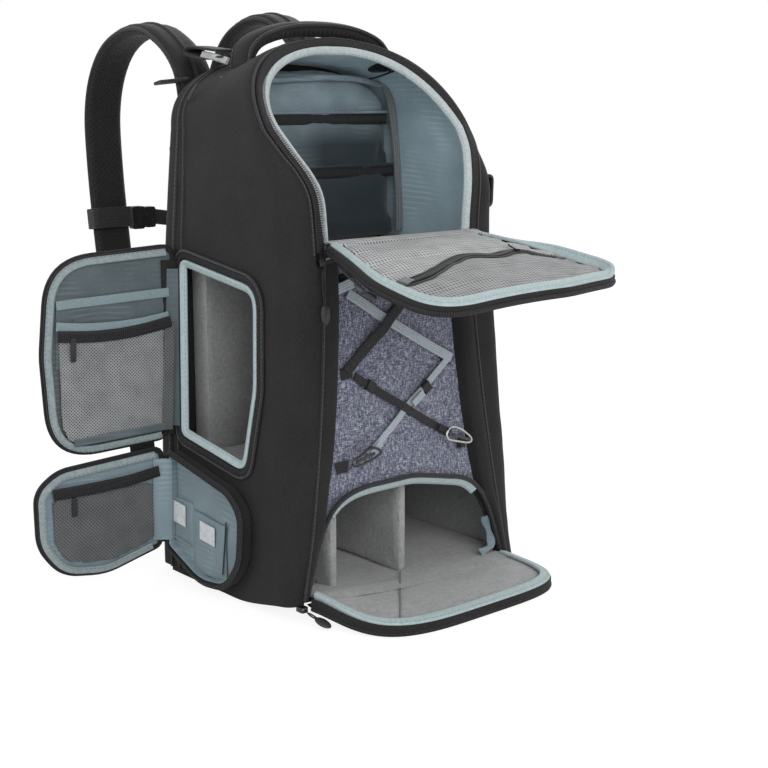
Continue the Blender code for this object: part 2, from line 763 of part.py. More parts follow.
def make_zip_pulls():
    u, v = TOP_SLIDER
    plate("top_zip_slider", rounded(box_outline(u - 0.0035, u + 0.0035, v - 0.006, v + 0.006), 0.002),
          0.0045, sunk(FRONT, 0.0030), DARK_STEEL)
    pivot = FRONT @ Vector((u, v - 0.0096, 0.0040))
    hang = hinge("top_zip_hinge", frame(pivot, (1, 0, 0), (0, 0, 1)))
    pull("top_zip_pull", level(0.0), hang, length=0.048, width=0.008, paint=GREY_RUBBER)
    x, y = LOW_SLIDER
    plate("low_zip_slider", rounded(box_outline(x - 0.0035, x + 0.0035, y - 0.005, y + 0.005), 0.002),
          0.0045, level(0.0035), DARK_STEEL)
    lie = hinge("low_zip_hinge", Matrix.Translation((x, y - 0.0085, 0.0022)))
    pull("low_zip_pull", level(0.0), lie, length=0.028, width=0.008, paint=GREY_RUBBER)


# Carrying gear: pads, shoulder straps, webbing, buckles and the grab handle

STRAP_PATH = [(0.1113, 0.446), (0.1190, 0.474), (0.140, 0.497), (0.174, 0.5135), (0.211, 0.5135),
              (0.247, 0.499), (0.272, 0.471), (0.284, 0.434), (0.2835, 0.388), (0.2775, 0.330),
              (0.269, 0.275), (0.258, 0.225), (0.2465, 0.185)]
WEB_PATH = [(0.2460, 0.1840), (0.2385, 0.150), (0.232, 0.100), (0.220, 0.050), (0.196, 0.014),
            (0.165, 0.0048), (0.135, 0.014), (0.1085, 0.038)]
LIFTER_PATH = [(0.052, 0.4872), (0.076, 0.4858), (0.098, 0.4872), (0.1145, 0.4915)]
HANDLE_PATH = [(0.0770, 0.4872), (0.0760, 0.4955), (0.0640, 0.5040), (0.0380, 0.5100), (0.0, 0.5125)]
STERNUM_Z = 0.325


def strap_path(side):
    """The line of a shoulder strap; the right one stands a little higher than the left."""
    lift = RIGHT_STRAP_LIFT if side == "right" else 0.0
    path = []
    for y, z in STRAP_PATH:
        share = min(max((z - 0.44) / 0.07, 0.0), 1.0) * min(max((y - 0.112) / 0.03, 0.0), 1.0)
        path.append((y, z + lift * share))
    return smooth_path(path)


def strap_at(z):
    """Depth and run of the shoulder strap's front-facing stretch at a height."""
    path = strap_path("left")
    for a, b in zip(path, path[1:]):
        if a.x > 0.24 and b.y <= z < a.y:
            return a.lerp(b, (a.y - z) / (a.y - b.y)), (b - a).normalized()
    return path[-1], Vector((0, -1))


def make_pads():
    face = BACK_Y + BACK_GAP + BACK_THICK + GAP
    for side, sign in (("left", -1), ("right", 1)):
        low, high = sorted((sign * 0.022, sign * 0.112))
        plate(f"back_pad_{side}", rounded(box_outline(low, high, 0.195, 0.430), 0.02), 0.013,
              upright(face + 0.0065), MESH)
    plate("lumbar_pad", rounded(box_outline(-0.058, 0.058, 0.045, 0.165), 0.02), 0.015,
          upright(face + 0.0075), MESH)


def make_straps():
    for side in ("left", "right"):
        plan = sideways(STRAP_X[side])
        plate(f"shoulder_strap_{side}", ribbon_outline(strap_path(side), STRAP_THICK),
              STRAP_WIDTH, plan, BLACK_CLOTH)
        plate(f"strap_webbing_{side}", ribbon_outline(smooth_path(WEB_PATH), WEB_THICK),
              LOW_WEB_WIDTH, plan, BLACK_WEB)
        plate(f"load_lifter_{side}", ribbon_outline(smooth_path(LIFTER_PATH), WEB_THICK), WEB_WIDTH,
              plan, BLACK_WEB)
        run = Vector(WEB_PATH[2]) - Vector(WEB_PATH[1])
        middle = Vector(WEB_PATH[1]).lerp(Vector(WEB_PATH[2]), 0.3)
        along = Vector((0, run.x, run.y))
        lock = frame((STRAP_X[side], middle.x, middle.y), (1, 0, 0), along.cross(Vector((1, 0, 0))))
        sleeve(f"ladder_lock_{side}", LOW_WEB_WIDTH + 0.001, 0.0050, 0.020, 0.0025, lock, BLACK_PLASTIC)
        middle, run = strap_at(STERNUM_Z)
        along = Vector((0, run.x, run.y))
        loop = frame((STRAP_X[side], middle.x, middle.y), (1, 0, 0), along.cross(Vector((1, 0, 0))))
        sleeve(f"sternum_loop_{side}", STRAP_WIDTH + 0.001, STRAP_THICK + 0.0012, 0.020, 0.0022,
               loop, BLACK_WEB)


def make_sternum_strap():
    """Webbing across the chest from the right loop to a two-part buckle on the left loop."""
    middle, _ = strap_at(STERNUM_Z)
    start = STRAP_X["left"] + STRAP_WIDTH / 2 + 0.0035
    end = STRAP_X["right"] - STRAP_WIDTH / 2 - 0.0035
    plan = frame((0, middle.x, STERNUM_Z), (1, 0, 0), (0, 0, 1))
    socket_x = start + 0.0075
    plug_x = socket_x + 0.0146
    plate("sternum_webbing", box_outline(plug_x + 0.0070, end, -0.008, 0.008), WEB_THICK, plan,
          BLACK_WEB)
    plate("sternum_socket", rounded(box_outline(socket_x - 0.0075, socket_x + 0.0075, -0.012, 0.012),
                                    0.003), 0.008, plan, BLACK_PLASTIC)
    plate("sternum_plug", rounded(box_outline(plug_x - 0.0067, plug_x + 0.0067, -0.011, 0.011), 0.003),
          0.007, plan, BLACK_PLASTIC)


def make_handle():
    half = HANDLE_PATH
    path = smooth_path([(-x, z) for x, z in half[:-1]] + half[::-1])
    plate("grab_handle", ribbon_outline(path, HANDLE_THICK), HANDLE_DEEP, upright(HANDLE_Y), BLACK_CLOTH)


def make_side_buckle():
    """The strap adjuster high on the right side."""
    x = side_half(-0.050, 0.362)
    plan = frame((x + 0.0085, -0.055, 0.362), (0, 1, 0), (0, 0, 1))
    plate("side_buckle", rounded(box_outline(-0.010, 0.010, -0.015, 0.015), 0.003), 0.009, plan,
          BLACK_PLASTIC)


make_body()
make_front()
make_lacing()
make_inside()
make_card_pocket()
make_top_flap()
make_low_flap()
make_side_door()
make_card_door()
make_zip_pulls()
make_pads()
make_straps()
make_sternum_strap()
make_handle()
make_side_buckle()
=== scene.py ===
# %% [markdown]
# # A camera backpack, standing open
# This lesson dresses a imported frame of a padded backpack: its flaps and doors are open, so the
# outside cloth, the pale lining, the webbing and the small hard parts are all on show.
# The frame already knows where every part is and how it turns, so each piece made here is put straight into
# the frame's own metres. Most pieces are then told which moving body they ride on; pieces of the leaves and
# hinges are baked in place and left unattached.

# %% Start from the frame
import math

import bmesh
import bpy
from mathutils import Matrix, Vector, noise
from mathutils.bvhtree import BVHTree


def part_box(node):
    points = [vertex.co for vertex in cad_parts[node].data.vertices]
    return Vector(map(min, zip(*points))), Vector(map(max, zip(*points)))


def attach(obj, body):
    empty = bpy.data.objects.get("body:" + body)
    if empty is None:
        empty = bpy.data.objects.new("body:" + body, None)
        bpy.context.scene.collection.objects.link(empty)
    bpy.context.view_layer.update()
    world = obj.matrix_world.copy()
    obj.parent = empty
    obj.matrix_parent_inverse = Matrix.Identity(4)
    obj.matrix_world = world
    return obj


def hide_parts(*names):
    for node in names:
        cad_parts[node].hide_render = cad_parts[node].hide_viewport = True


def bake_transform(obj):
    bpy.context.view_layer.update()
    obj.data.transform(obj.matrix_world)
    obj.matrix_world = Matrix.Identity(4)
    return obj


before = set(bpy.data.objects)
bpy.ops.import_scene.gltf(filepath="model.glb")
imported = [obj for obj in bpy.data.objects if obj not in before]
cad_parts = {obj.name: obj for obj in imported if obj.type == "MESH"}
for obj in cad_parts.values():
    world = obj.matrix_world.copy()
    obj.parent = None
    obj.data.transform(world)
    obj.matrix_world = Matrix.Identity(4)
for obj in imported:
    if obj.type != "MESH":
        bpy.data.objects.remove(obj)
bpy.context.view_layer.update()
scene = bpy.context.scene

# %% [markdown]
# ## Camera, light and floor
# A product picture has a long lens, a white sweep and soft light from all round. The world gives
# most of the light, three large lamps give the cloth its direction, and the floor is almost white.
# What the camera sees of the world is plain white, which the Light Path node can tell apart.

# %% Camera
CAMERA_PLACE = (-0.8594, -1.0373, 0.4537)
CAMERA_TILT, CAMERA_TURN, LENS_ANGLE = 78.5, -41.5, 30.163
camera = bpy.data.objects.new("camera", bpy.data.cameras.new("camera"))
scene.collection.objects.link(camera)
camera.location = CAMERA_PLACE
camera.rotation_euler = (math.radians(CAMERA_TILT), 0.0, math.radians(CAMERA_TURN))
camera.data.sensor_fit = "AUTO"
camera.data.angle = math.radians(LENS_ANGLE)
camera.data.clip_start = 0.01
scene.camera = camera
scene.view_settings.view_transform = "Standard"
print("camera at", tuple(camera.location))


# %% Nodes by name, and a mesh from a bmesh
def add(tree, kind, settings=None, **inputs):
    """One shader node: settings are its own options, inputs are values or sockets by name."""
    made = tree.nodes.new("ShaderNode" + kind)
    for key, value in (settings or {}).items():
        setattr(made, key, value)
    for key, value in inputs.items():
        place = int(key[1:]) if key[0] == "i" and key[1:].isdigit() else key.replace("_", " ")
        if isinstance(value, bpy.types.NodeSocket):
            tree.links.new(value, made.inputs[place])
        else:
            made.inputs[place].default_value = value
    return made


def meshed(made, name):
    """The shape of a bmesh as a mesh; the bmesh itself is freed."""
    mesh = bpy.data.meshes.new(name)
    made.to_mesh(mesh)
    made.free()
    return mesh


print("helpers for nodes and meshes ready")

# %% World and floor
world = bpy.data.worlds.new("studio")
scene.world = world
world.use_nodes = True
tree = world.node_tree
tree.nodes.clear()
path = add(tree, "LightPath").outputs
seen = add(tree, "Math", {"operation": "MAXIMUM"}, i0=path["Is Camera Ray"], i1=path["Is Transmission Ray"])
seen = add(tree, "Math", {"operation": "MAXIMUM"}, i0=seen.outputs[0], i1=path["Is Glossy Ray"])
soft = add(tree, "Background", Color=(1, 1, 1, 1), Strength=0.66)
white = add(tree, "Background", Color=(1, 1, 1, 1), Strength=1.0)
both = add(tree, "MixShader", i0=seen.outputs[0], i1=soft.outputs[0], i2=white.outputs[0])
add(tree, "OutputWorld", Surface=both.outputs[0])

bm = bmesh.new()
bmesh.ops.create_grid(bm, x_segments=2, y_segments=2, size=40.0)
floor = bpy.data.objects.new("floor", meshed(bm, "floor"))
scene.collection.objects.link(floor)
floor_paint = bpy.data.materials.new("floor_paint")
floor_paint.use_nodes = True
tree = floor_paint.node_tree
tree.nodes.clear()
path = add(tree, "LightPath").outputs
matt = add(tree, "BsdfDiffuse", Color=(0.92, 0.92, 0.92, 1))
glow = add(tree, "Emission", Color=(1, 1, 1, 1), Strength=1.1)
lit = add(tree, "MixShader", i0=0.80, i1=matt.outputs[0], i2=glow.outputs[0])
both = add(tree, "MixShader", i0=path["Is Camera Ray"], i1=matt.outputs[0], i2=lit.outputs[0])
add(tree, "OutputMaterial", Surface=both.outputs[0])
floor.data.materials.append(floor_paint)
print("floor and world set")

# %% Lamps
for name, place, aim, side, watts in (
    ("key_lamp", (-0.7, -2.2, 1.3), (0.0, 0.0, 0.25), 1.6, 29.0),
    ("fill_lamp", (-2.0, 0.2, 1.2), (0.0, 0.0, 0.25), 1.4, 8.0),
    ("edge_lamp", (1.4, 1.0, 1.5), (0.0, 0.0, 0.3), 1.0, 10.0),
):
    data = bpy.data.lights.new(name, "AREA")
    data.size = side
    data.energy = watts
    lamp = bpy.data.objects.new(name, data)
    scene.collection.objects.link(lamp)
    lamp.location = place
    lamp.rotation_euler = (Vector(aim) - Vector(place)).to_track_quat("-Z", "Y").to_euler()
    print(name, watts, "W")

# %% [markdown]
# ## Finishes
# Bag cloth is never one flat colour: yarns catch light differently, so every finish below mixes
# two or three tones by noise and gives the surface a fine bump. Patterns that follow a strip,
# such as ribs on webbing or stitches on binding, read a UV map called "lay", in metres.


# %% Finish helpers
def start_finish(name, roughness=0.8, sheen=0.0):
    """A new material: its tree, its surface shader and its coordinates."""
    finish = bpy.data.materials.new(name)
    finish.use_nodes = True
    tree = finish.node_tree
    tree.nodes.clear()
    skin = add(tree, "BsdfPrincipled", Roughness=roughness)
    skin.inputs["Sheen Weight"].default_value = sheen
    skin.inputs["Sheen Roughness"].default_value = 0.5
    skin.inputs["Specular IOR Level"].default_value = 0.3
    add(tree, "OutputMaterial", Surface=skin.outputs[0])
    place = add(tree, "TexCoord").outputs["Object"]
    lay = add(tree, "UVMap", {"uv_map": "lay"}).outputs["UV"]
    return finish, tree, skin, place, lay


def tones(tree, share, dark, light):
    """A colour between two tones, by a share from 0 to 1."""
    mixed = add(tree, "Mix", {"data_type": "RGBA"}, i0=share)
    mixed.inputs[6].default_value = (*dark, 1)
    mixed.inputs[7].default_value = (*light, 1)
    return mixed.outputs[2]


def grain(tree, place, scale, detail=2.0, low=0.3, high=0.7, stretch=None):
    """Noise spread over 0 to 1, stretched along an axis where a yarn runs that way."""
    if stretch:
        place = add(tree, "Mapping", Vector=place, Scale=stretch).outputs[0]
    rough = add(tree, "TexNoise", Vector=place, Scale=scale, Detail=detail)
    spread = add(tree, "MapRange", i0=rough.outputs[0], i1=low, i2=high)
    return spread.outputs[0]


def ribs(tree, along, pitch):
    """A smooth wave from 0 to 1 along one measure, one rib each pitch."""
    turned = add(tree, "Math", {"operation": "MULTIPLY"}, i0=along, i1=2 * math.pi / pitch)
    wave = add(tree, "Math", {"operation": "SINE"}, i0=turned.outputs[0])
    return add(tree, "MapRange", i0=wave.outputs[0], i1=-1.0, i2=1.0).outputs[0]


print("tones, grain and ribs ready")


# %% Sums and bumps for finishes
def maths(tree, operation, a, b=0.0):
    return add(tree, "Math", {"operation": operation}, i0=a, i1=b).outputs[0]


def shares(tree, a, part_a, b, part_b):
    """Two measures added up, each by its own part."""
    return maths(tree, "ADD", maths(tree, "MULTIPLY", a, part_a), maths(tree, "MULTIPLY", b, part_b))


def bumped(tree, skin, height, strength, deep=0.0006):
    bump = add(tree, "Bump", Strength=strength, Distance=deep, Height=height)
    tree.links.new(bump.outputs[0], skin.inputs["Normal"])


def split(tree, lay):
    parts = add(tree, "SeparateXYZ", Vector=lay).outputs
    return parts[0], parts[1]


print("finish helpers ready")

# %% [markdown]
# ### Cloth
# The outside is plain black weave, the rooms have slippery lining and grey felt, and the front is a
# melange canvas. A picture of cloth could be laid on, but noise stretched along both yarn ways has
# no seams, so it suits every piece.


# %% Outside cloth and felt
def cloth_finish(name, dark, light, sheen=0.15, roughness=0.82, yarn=1100.0, strength=0.35):
    """Plain woven cloth: fine yarn noise both ways over slow shade changes."""
    finish, tree, skin, place, lay = start_finish(name, roughness, sheen)
    warp = grain(tree, place, yarn, 1.0, 0.3, 0.7, (1.0, 1.0, 0.35))
    weft = grain(tree, place, yarn, 1.0, 0.3, 0.7, (0.35, 0.35, 1.0))
    weave = maths(tree, "MULTIPLY", maths(tree, "ADD", warp, weft), 0.5)
    slow = grain(tree, place, 26.0, 3.0, 0.3, 0.7)
    share = shares(tree, weave, 0.72, slow, 0.28)
    tree.links.new(tones(tree, share, dark, light), skin.inputs["Base Color"])
    bumped(tree, skin, weave, strength)
    return finish


black_cloth = cloth_finish("black_cloth", (0.0050, 0.0050, 0.0055), (0.0185, 0.0185, 0.0198), 0.05)
soft_black = cloth_finish("soft_black_cloth", (0.0035, 0.0035, 0.0040), (0.0125, 0.0125, 0.0135), 0.04, 0.7)
grey_felt = cloth_finish("grey_felt", (0.235, 0.238, 0.242), (0.40, 0.403, 0.408), 0.3, 0.95, 520.0, 0.5)
print("two black cloths and a felt made")


# %% Lining
def lining_finish(name, dark, light, painted_shade_tone=None):
    """Slippery lining: pale pressed lines come and go on it. A painted shade tone, when given, is mixed in
    low down and towards the right, as painted shade deep in a room.
    """
    finish, tree, skin, place, lay = start_finish(name, 0.5, 0.15)
    x, y, z = add(tree, "SeparateXYZ", Vector=place).outputs
    sway = maths(tree, "MULTIPLY", grain(tree, place, 16.0, 1.0, 0.0, 1.0), 0.010)
    line = maths(tree, "POWER", ribs(tree, maths(tree, "ADD", z, sway), 0.0050), 4.0)
    line = maths(tree, "MULTIPLY", line, grain(tree, place, 24.0, 1.0, 0.50, 0.64))
    ground = shares(tree, grain(tree, place, 700.0, 1.0), 0.25, grain(tree, place, 30.0, 3.0), 0.40)
    colour = tones(tree, maths(tree, "ADD", ground, maths(tree, "MULTIPLY", line, 0.55)), dark, light)
    # Painted shade: the lining darkens towards its low right, where the far wall of a deep room gets little
    # light.
    if painted_shade_tone:
        side = add(tree, "MapRange", i0=x, i1=-0.075, i2=0.02).outputs[0]
        low = add(tree, "MapRange", i0=z, i1=0.448, i2=0.405).outputs[0]
        shaded = add(tree, "Mix", {"data_type": "RGBA"}, i0=maths(tree, "MULTIPLY", side, low))
        tree.links.new(colour, shaded.inputs[6])
        shaded.inputs[7].default_value = (*painted_shade_tone, 1)
        colour = shaded.outputs[2]
    tree.links.new(colour, skin.inputs["Base Color"])
    bumped(tree, skin, line, 0.25)
    return finish


blue_lining = lining_finish("blue_grey_lining", (0.145, 0.200, 0.228), (0.245, 0.315, 0.345))
# A lighter copy of the lining for the top room's walls: painted light, so these walls read as lit.
lining_painted_light = lining_finish("lining_painted_light", (0.345, 0.480, 0.545), (0.580, 0.740, 0.810))
# A darker copy of the lining for the top room's far wall, with a painted pool of shade low on its right.
far_wall_lining_painted_shade = lining_finish("far_wall_lining_painted_shade", (0.120, 0.165, 0.190), (0.265, 0.340, 0.372),
                            (0.018, 0.026, 0.031))
# A darker copy of the lining for the side door and its pockets: painted shade, because the open door stands
# in shade.
door_lining_painted_shade = lining_finish("door_lining_painted_shade", (0.050, 0.068, 0.078), (0.110, 0.138, 0.150))
print("four linings made")


# %% Heather
def heather_finish(name):
    """Melange canvas: threads of dark, mid and pale blue-grey crossing each other."""
    finish, tree, skin, place, lay = start_finish(name, 0.85, 0.2)
    across = grain(tree, place, 860.0, 1.0, 0.34, 0.66, (0.32, 0.32, 1.4))
    down = grain(tree, place, 860.0, 1.0, 0.34, 0.66, (1.4, 1.4, 0.24))
    both = maths(tree, "MULTIPLY", maths(tree, "ADD", across, down), 0.5)
    ramp = add(tree, "ValToRGB", i0=both)
    spots = ((0.12, (0.054, 0.058, 0.088)), (0.42, (0.118, 0.126, 0.180)), (0.62, (0.195, 0.206, 0.270)),
             (0.88, (0.39, 0.405, 0.47)))
    bar = ramp.color_ramp
    while len(bar.elements) < len(spots):
        bar.elements.new(0.5)
    for stop, (where, colour) in zip(bar.elements, spots):
        stop.position = where
        stop.color = (*colour, 1)
    tree.links.new(ramp.outputs[0], skin.inputs["Base Color"])
    bumped(tree, skin, both, 0.5)
    return finish


heather = heather_finish("heather_cloth")
print("heather has", len(heather.node_tree.nodes), "nodes")

# %% [markdown]
# ### Tapes
# Webbing has ribs along it, binding has ribs across it and a row of stitches, a zip has teeth in its
# middle. They could be modelled thread by thread; waves along the strip's own UV map show the same
# at this size and follow every bend.


# %% Webbing
def webbing_finish(name, dark, light, pitch=0.0022, roughness=0.7):
    """Woven tape: ribs along it and a fine cross rib, with a darker selvedge grain."""
    finish, tree, skin, place, lay = start_finish(name, roughness, 0.1)
    along, across = split(tree, lay)
    cross_rib = maths(tree, "ADD", maths(tree, "MULTIPLY", ribs(tree, along, 0.0016), 0.4), 0.6)
    rib = maths(tree, "MULTIPLY", ribs(tree, across, pitch), cross_rib)
    share = shares(tree, rib, 0.6, grain(tree, place, 500.0), 0.4)
    tree.links.new(tones(tree, share, dark, light), skin.inputs["Base Color"])
    bumped(tree, skin, rib, 0.6)
    return finish


black_webbing = webbing_finish("black_webbing", (0.008, 0.008, 0.009), (0.034, 0.034, 0.037))
grey_webbing = webbing_finish("grey_webbing", (0.11, 0.125, 0.13), (0.21, 0.235, 0.245))
pale_webbing = webbing_finish("pale_webbing", (0.27, 0.315, 0.345), (0.45, 0.51, 0.555))
print("three webbings made")


# %% Binding
def binding_finish(name, dark, light, thread):
    """Grosgrain tape folded over an edge: cross ribs, and a row of stitches near its inner side."""
    finish, tree, skin, place, lay = start_finish(name, 0.72, 0.15)
    along, across = split(tree, lay)
    rib = ribs(tree, along, 0.0013)
    share = shares(tree, rib, 0.35, grain(tree, place, 300.0), 0.65)
    tape = tones(tree, share, dark, light)
    near = maths(tree, "LESS_THAN", maths(tree, "ABSOLUTE", maths(tree, "SUBTRACT", across, 0.0022)),
                 0.00055)
    dash = maths(tree, "GREATER_THAN", ribs(tree, along, 0.0042), 0.3)
    stitch = maths(tree, "MULTIPLY", near, dash)
    colour = add(tree, "Mix", {"data_type": "RGBA"}, i0=stitch)
    tree.links.new(tape, colour.inputs[6])
    colour.inputs[7].default_value = (*thread, 1)
    tree.links.new(colour.outputs[2], skin.inputs["Base Color"])
    bumped(tree, skin, maths(tree, "SUBTRACT", maths(tree, "MULTIPLY", rib, 0.5), stitch), 0.5)
    return finish


aqua_binding = binding_finish("aqua_binding", (0.315, 0.40, 0.413), (0.44, 0.527, 0.54),
                              (0.265, 0.34, 0.353))
rim_tape = binding_finish("rim_tape", (0.36, 0.415, 0.425), (0.52, 0.57, 0.58), (0.33, 0.39, 0.40))
# A darker copy of the pale binding for the edges of the side door and the card cover: painted shade.
binding_painted_shade = binding_finish("binding_painted_shade", (0.175, 0.22, 0.23), (0.285, 0.335, 0.35),
                               (0.155, 0.195, 0.205))
black_binding = binding_finish("black_binding", (0.010, 0.010, 0.011), (0.026, 0.026, 0.028),
                               (0.05, 0.05, 0.055))


print("four bindings made")


# %% Zip
def zip_finish(name, dark, light):
    """A coil zip: even teeth in the middle, a flat woven tape on both sides."""
    finish, tree, skin, place, lay = start_finish(name, 0.62, 0.0)
    along, across = split(tree, lay)
    middle = maths(tree, "LESS_THAN", maths(tree, "ABSOLUTE", across), 0.0026)
    teeth = maths(tree, "MULTIPLY", ribs(tree, along, 0.0020), middle)
    share = shares(tree, teeth, 0.75, grain(tree, place, 500.0), 0.25)
    tree.links.new(tones(tree, share, dark, light), skin.inputs["Base Color"])
    bumped(tree, skin, teeth, 0.9, 0.0010)
    return finish


black_zip = zip_finish("black_zip", (0.005, 0.005, 0.006), (0.030, 0.030, 0.033))
# Light teeth on a black coil: a painted highlight for the glint along the rim zip's coil.
coil_painted_highlight = zip_finish("coil_painted_highlight", (0.012, 0.012, 0.013), (0.36, 0.37, 0.38))
print("two zips made")

# %% [markdown]
# ### Nets and hard parts
# Pocket net is a knit with holes on the diagonal, which two crossing waves give. Plastic and wire
# are plain, so a scuffed gloss is what keeps them from looking like wax.


# %% Nets and hard parts
def net_finish(name, hole, yarn, pitch=0.0030, roughness=0.75):
    """Pocket net: small round holes set on the diagonal in a knitted ground."""
    finish, tree, skin, place, lay = start_finish(name, roughness, 0.1)
    along, across = split(tree, lay)
    one = ribs(tree, maths(tree, "ADD", along, across), pitch)
    two = ribs(tree, maths(tree, "SUBTRACT", along, across), pitch)
    open_share = maths(tree, "MULTIPLY", one, two)
    knit = add(tree, "MapRange", i0=open_share, i1=0.30, i2=0.52).outputs[0]
    tone = maths(tree, "SUBTRACT", 1.0, maths(tree, "MULTIPLY", knit, 0.9))
    patchy = maths(tree, "ADD", maths(tree, "MULTIPLY", grain(tree, place, 60.0), 0.3), 0.75)
    share = maths(tree, "MULTIPLY", tone, patchy)
    tree.links.new(tones(tree, share, hole, yarn), skin.inputs["Base Color"])
    bumped(tree, skin, tone, 0.7, 0.0010)
    return finish


grey_net = net_finish("grey_net", (0.035, 0.036, 0.038), (0.485, 0.49, 0.495), 0.0034)
deep_net = net_finish("deep_net", (0.014, 0.015, 0.016), (0.33, 0.335, 0.34), 0.0034)
door_net_grey = net_finish("door_net_grey", (0.022, 0.024, 0.026), (0.27, 0.28, 0.285))
slate_net = net_finish("slate_net", (0.022, 0.024, 0.026), (0.115, 0.120, 0.125), 0.0034)
air_net = net_finish("air_net", (0.0022, 0.0022, 0.0025), (0.0095, 0.0095, 0.0105), 0.0056)


def hard_finish(name, dark, light, roughness, metallic=0.0):
    """Moulded plastic or wire: a faint mottled tone and a broken, scuffed gloss."""
    finish, tree, skin, place, lay = start_finish(name, roughness)
    skin.inputs["Metallic"].default_value = metallic
    scuff = grain(tree, place, 180.0, 4.0)
    tree.links.new(tones(tree, scuff, dark, light), skin.inputs["Base Color"])
    gloss = add(tree, "MapRange", i0=grain(tree, place, 420.0, 3.0), i3=roughness - 0.1,
                i4=roughness + 0.12)
    tree.links.new(gloss.outputs[0], skin.inputs["Roughness"])
    bumped(tree, skin, scuff, 0.12, 0.0003)
    return finish


black_plastic = hard_finish("black_plastic", (0.010, 0.010, 0.011), (0.022, 0.022, 0.024), 0.38)
grey_rubber = hard_finish("grey_rubber", (0.022, 0.023, 0.024), (0.045, 0.047, 0.048), 0.45)
steel_wire = hard_finish("steel_wire", (0.42, 0.42, 0.43), (0.58, 0.58, 0.59), 0.28, 1.0)
dark_steel = hard_finish("dark_steel", (0.06, 0.06, 0.062), (0.11, 0.11, 0.112), 0.32, 1.0)
# Pale plastic for bars on the lifter buckles: a painted highlight for the glint on their black, glossy
# plastic.
plastic_painted_highlight = hard_finish("plastic_painted_highlight", (0.30, 0.305, 0.31), (0.44, 0.445, 0.45), 0.3)
clear_window = hard_finish("pale_window", (0.52, 0.56, 0.57), (0.66, 0.69, 0.70), 0.25)
blue_hem = webbing_finish("blue_grey_hem", (0.165, 0.225, 0.245), (0.24, 0.31, 0.33), 0.0012)
print("all finishes made")

# %% [markdown]
# ## Tools for soft goods
# Two ways of making cover the whole bag. A *sweep* drags a small section along a path, which
# suits webbing, binding, piping and zips. A *pad* starts from a plain outline, is remeshed
# into small even faces and then blown up a little as cloth, which gives it a sewn, stuffed look.

# %% Putting a piece in the scene
# A leaf of cloth does not turn as a board does: near its hinge it turns less than at its tip. bends holds,
# for each leaf's body, where the turning starts and where it is complete; here it only marks those bodies,
# whose pieces are baked in place and not attached.
bends = {}


def show(name, made, finish, body="bag", stands_for=(), smooth=40.0):
    """Turns a bmesh into a piece and hides the nodes it stands for; the piece rides on its body unless that
    is a leaf's body or none, which leaves it baked in place.
    """
    return show_mesh(name, meshed(made, name), finish, body, stands_for, smooth)


def show_mesh(name, mesh, finish, body="bag", stands_for=(), smooth=40.0):
    item = bpy.data.objects.new(name, mesh)
    scene.collection.objects.link(item)
    for k, one in enumerate(finish if isinstance(finish, (list, tuple)) else [finish]):
        if k < len(mesh.materials):
            mesh.materials[k] = one
        else:
            mesh.materials.append(one)
    mesh.shade_smooth()
    mesh.set_sharp_from_angle(angle=math.radians(smooth))
    if body in bends:
        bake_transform(item)
    elif body:
        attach(item, body)
    if stands_for:
        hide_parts(*stands_for)
    return item


print("pieces can be shown")

# %% [markdown]
# ### Sweeps
# A curve with a bevel could make a tape too, but it has no UV map in metres and no say over which
# way the tape faces. Here a grid is rolled round the path, so both are known.


# %% Even paths
def smooth_path(points, step=0.004, closed=False):
    """Even points on a smooth curve through the given ones."""
    points = [Vector(p) for p in points]
    count = len(points)
    fine = []
    for k in range(count if closed else count - 1):
        a, b, c, d = (points[(k + j) % count] if closed else points[min(max(k + j, 0), count - 1)]
                      for j in (-1, 0, 1, 2))
        for j in range(16):
            t = j / 16
            fine.append(0.5 * (2 * b + (c - a) * t + (2 * a - 5 * b + 4 * c - d) * t * t
                               + (3 * b - a - 3 * c + d) * t ** 3))
    if not closed:
        fine.append(points[-1])
    return even_path(fine, step, closed)


def lengths(points):
    """The length of a line up to each of its points."""
    runs = [0.0]
    for a, b in zip(points, points[1:]):
        runs.append(runs[-1] + (b - a).length)
    return runs


def even_path(points, step=0.004, closed=False):
    points = [Vector(p) for p in points]
    if closed:
        points.append(points[0].copy())
    runs = lengths(points)
    count = max(2, round(runs[-1] / step))
    even, k = [], 0
    for j in range(count if closed else count + 1):
        want = runs[-1] * j / count
        while k < len(runs) - 2 and runs[k + 1] < want:
            k += 1
        span = max(runs[k + 1] - runs[k], 1e-9)
        even.append(points[k].lerp(points[k + 1], min(1.0, (want - runs[k]) / span)))
    return even


def heading(line, k, closed=False):
    """The way that a line runs at one of its points."""
    last = len(line) - 1
    ahead = line[(k + 1) % (last + 1)] if closed else line[min(k + 1, last)]
    behind = line[k - 1] if closed else line[max(k - 1, 0)]
    return (ahead - behind).normalized()


print("a run of 0.1 m has", len(even_path([(0, 0, 0), (0.1, 0, 0)])), "points")


# %% Sections of a tape and a cord
def tape(width, thick, round_edge=None, cuts=4):
    """Section of a flat tape: across it, out of it, and its measure across."""
    r = min(round_edge or thick / 2, thick / 2, width / 2)
    a, b = width / 2 - r, thick / 2 - r
    loop = []
    for sx, sy, start in ((1, 1, 0), (-1, 1, 90), (-1, -1, 180), (1, -1, 270)):
        for j in range(4):
            turn = math.radians(start + 30 * j)
            loop.append((sx * a + r * math.cos(turn), sy * b + r * math.sin(turn)))
        if sx == sy:
            loop += [(sx * a * (1 - 2 * j / cuts), sy * thick / 2) for j in range(1, cuts)]
    return [(x, y, x) for x, y in loop]


def ring(radius, sides=8):
    """Section of a round cord or piping."""
    turns = [2 * math.pi * j / sides for j in range(sides)]
    return [(radius * math.cos(t), radius * math.sin(t), radius * t) for t in turns]


print("a tape has", len(tape(0.010, 0.002)), "points round its section")


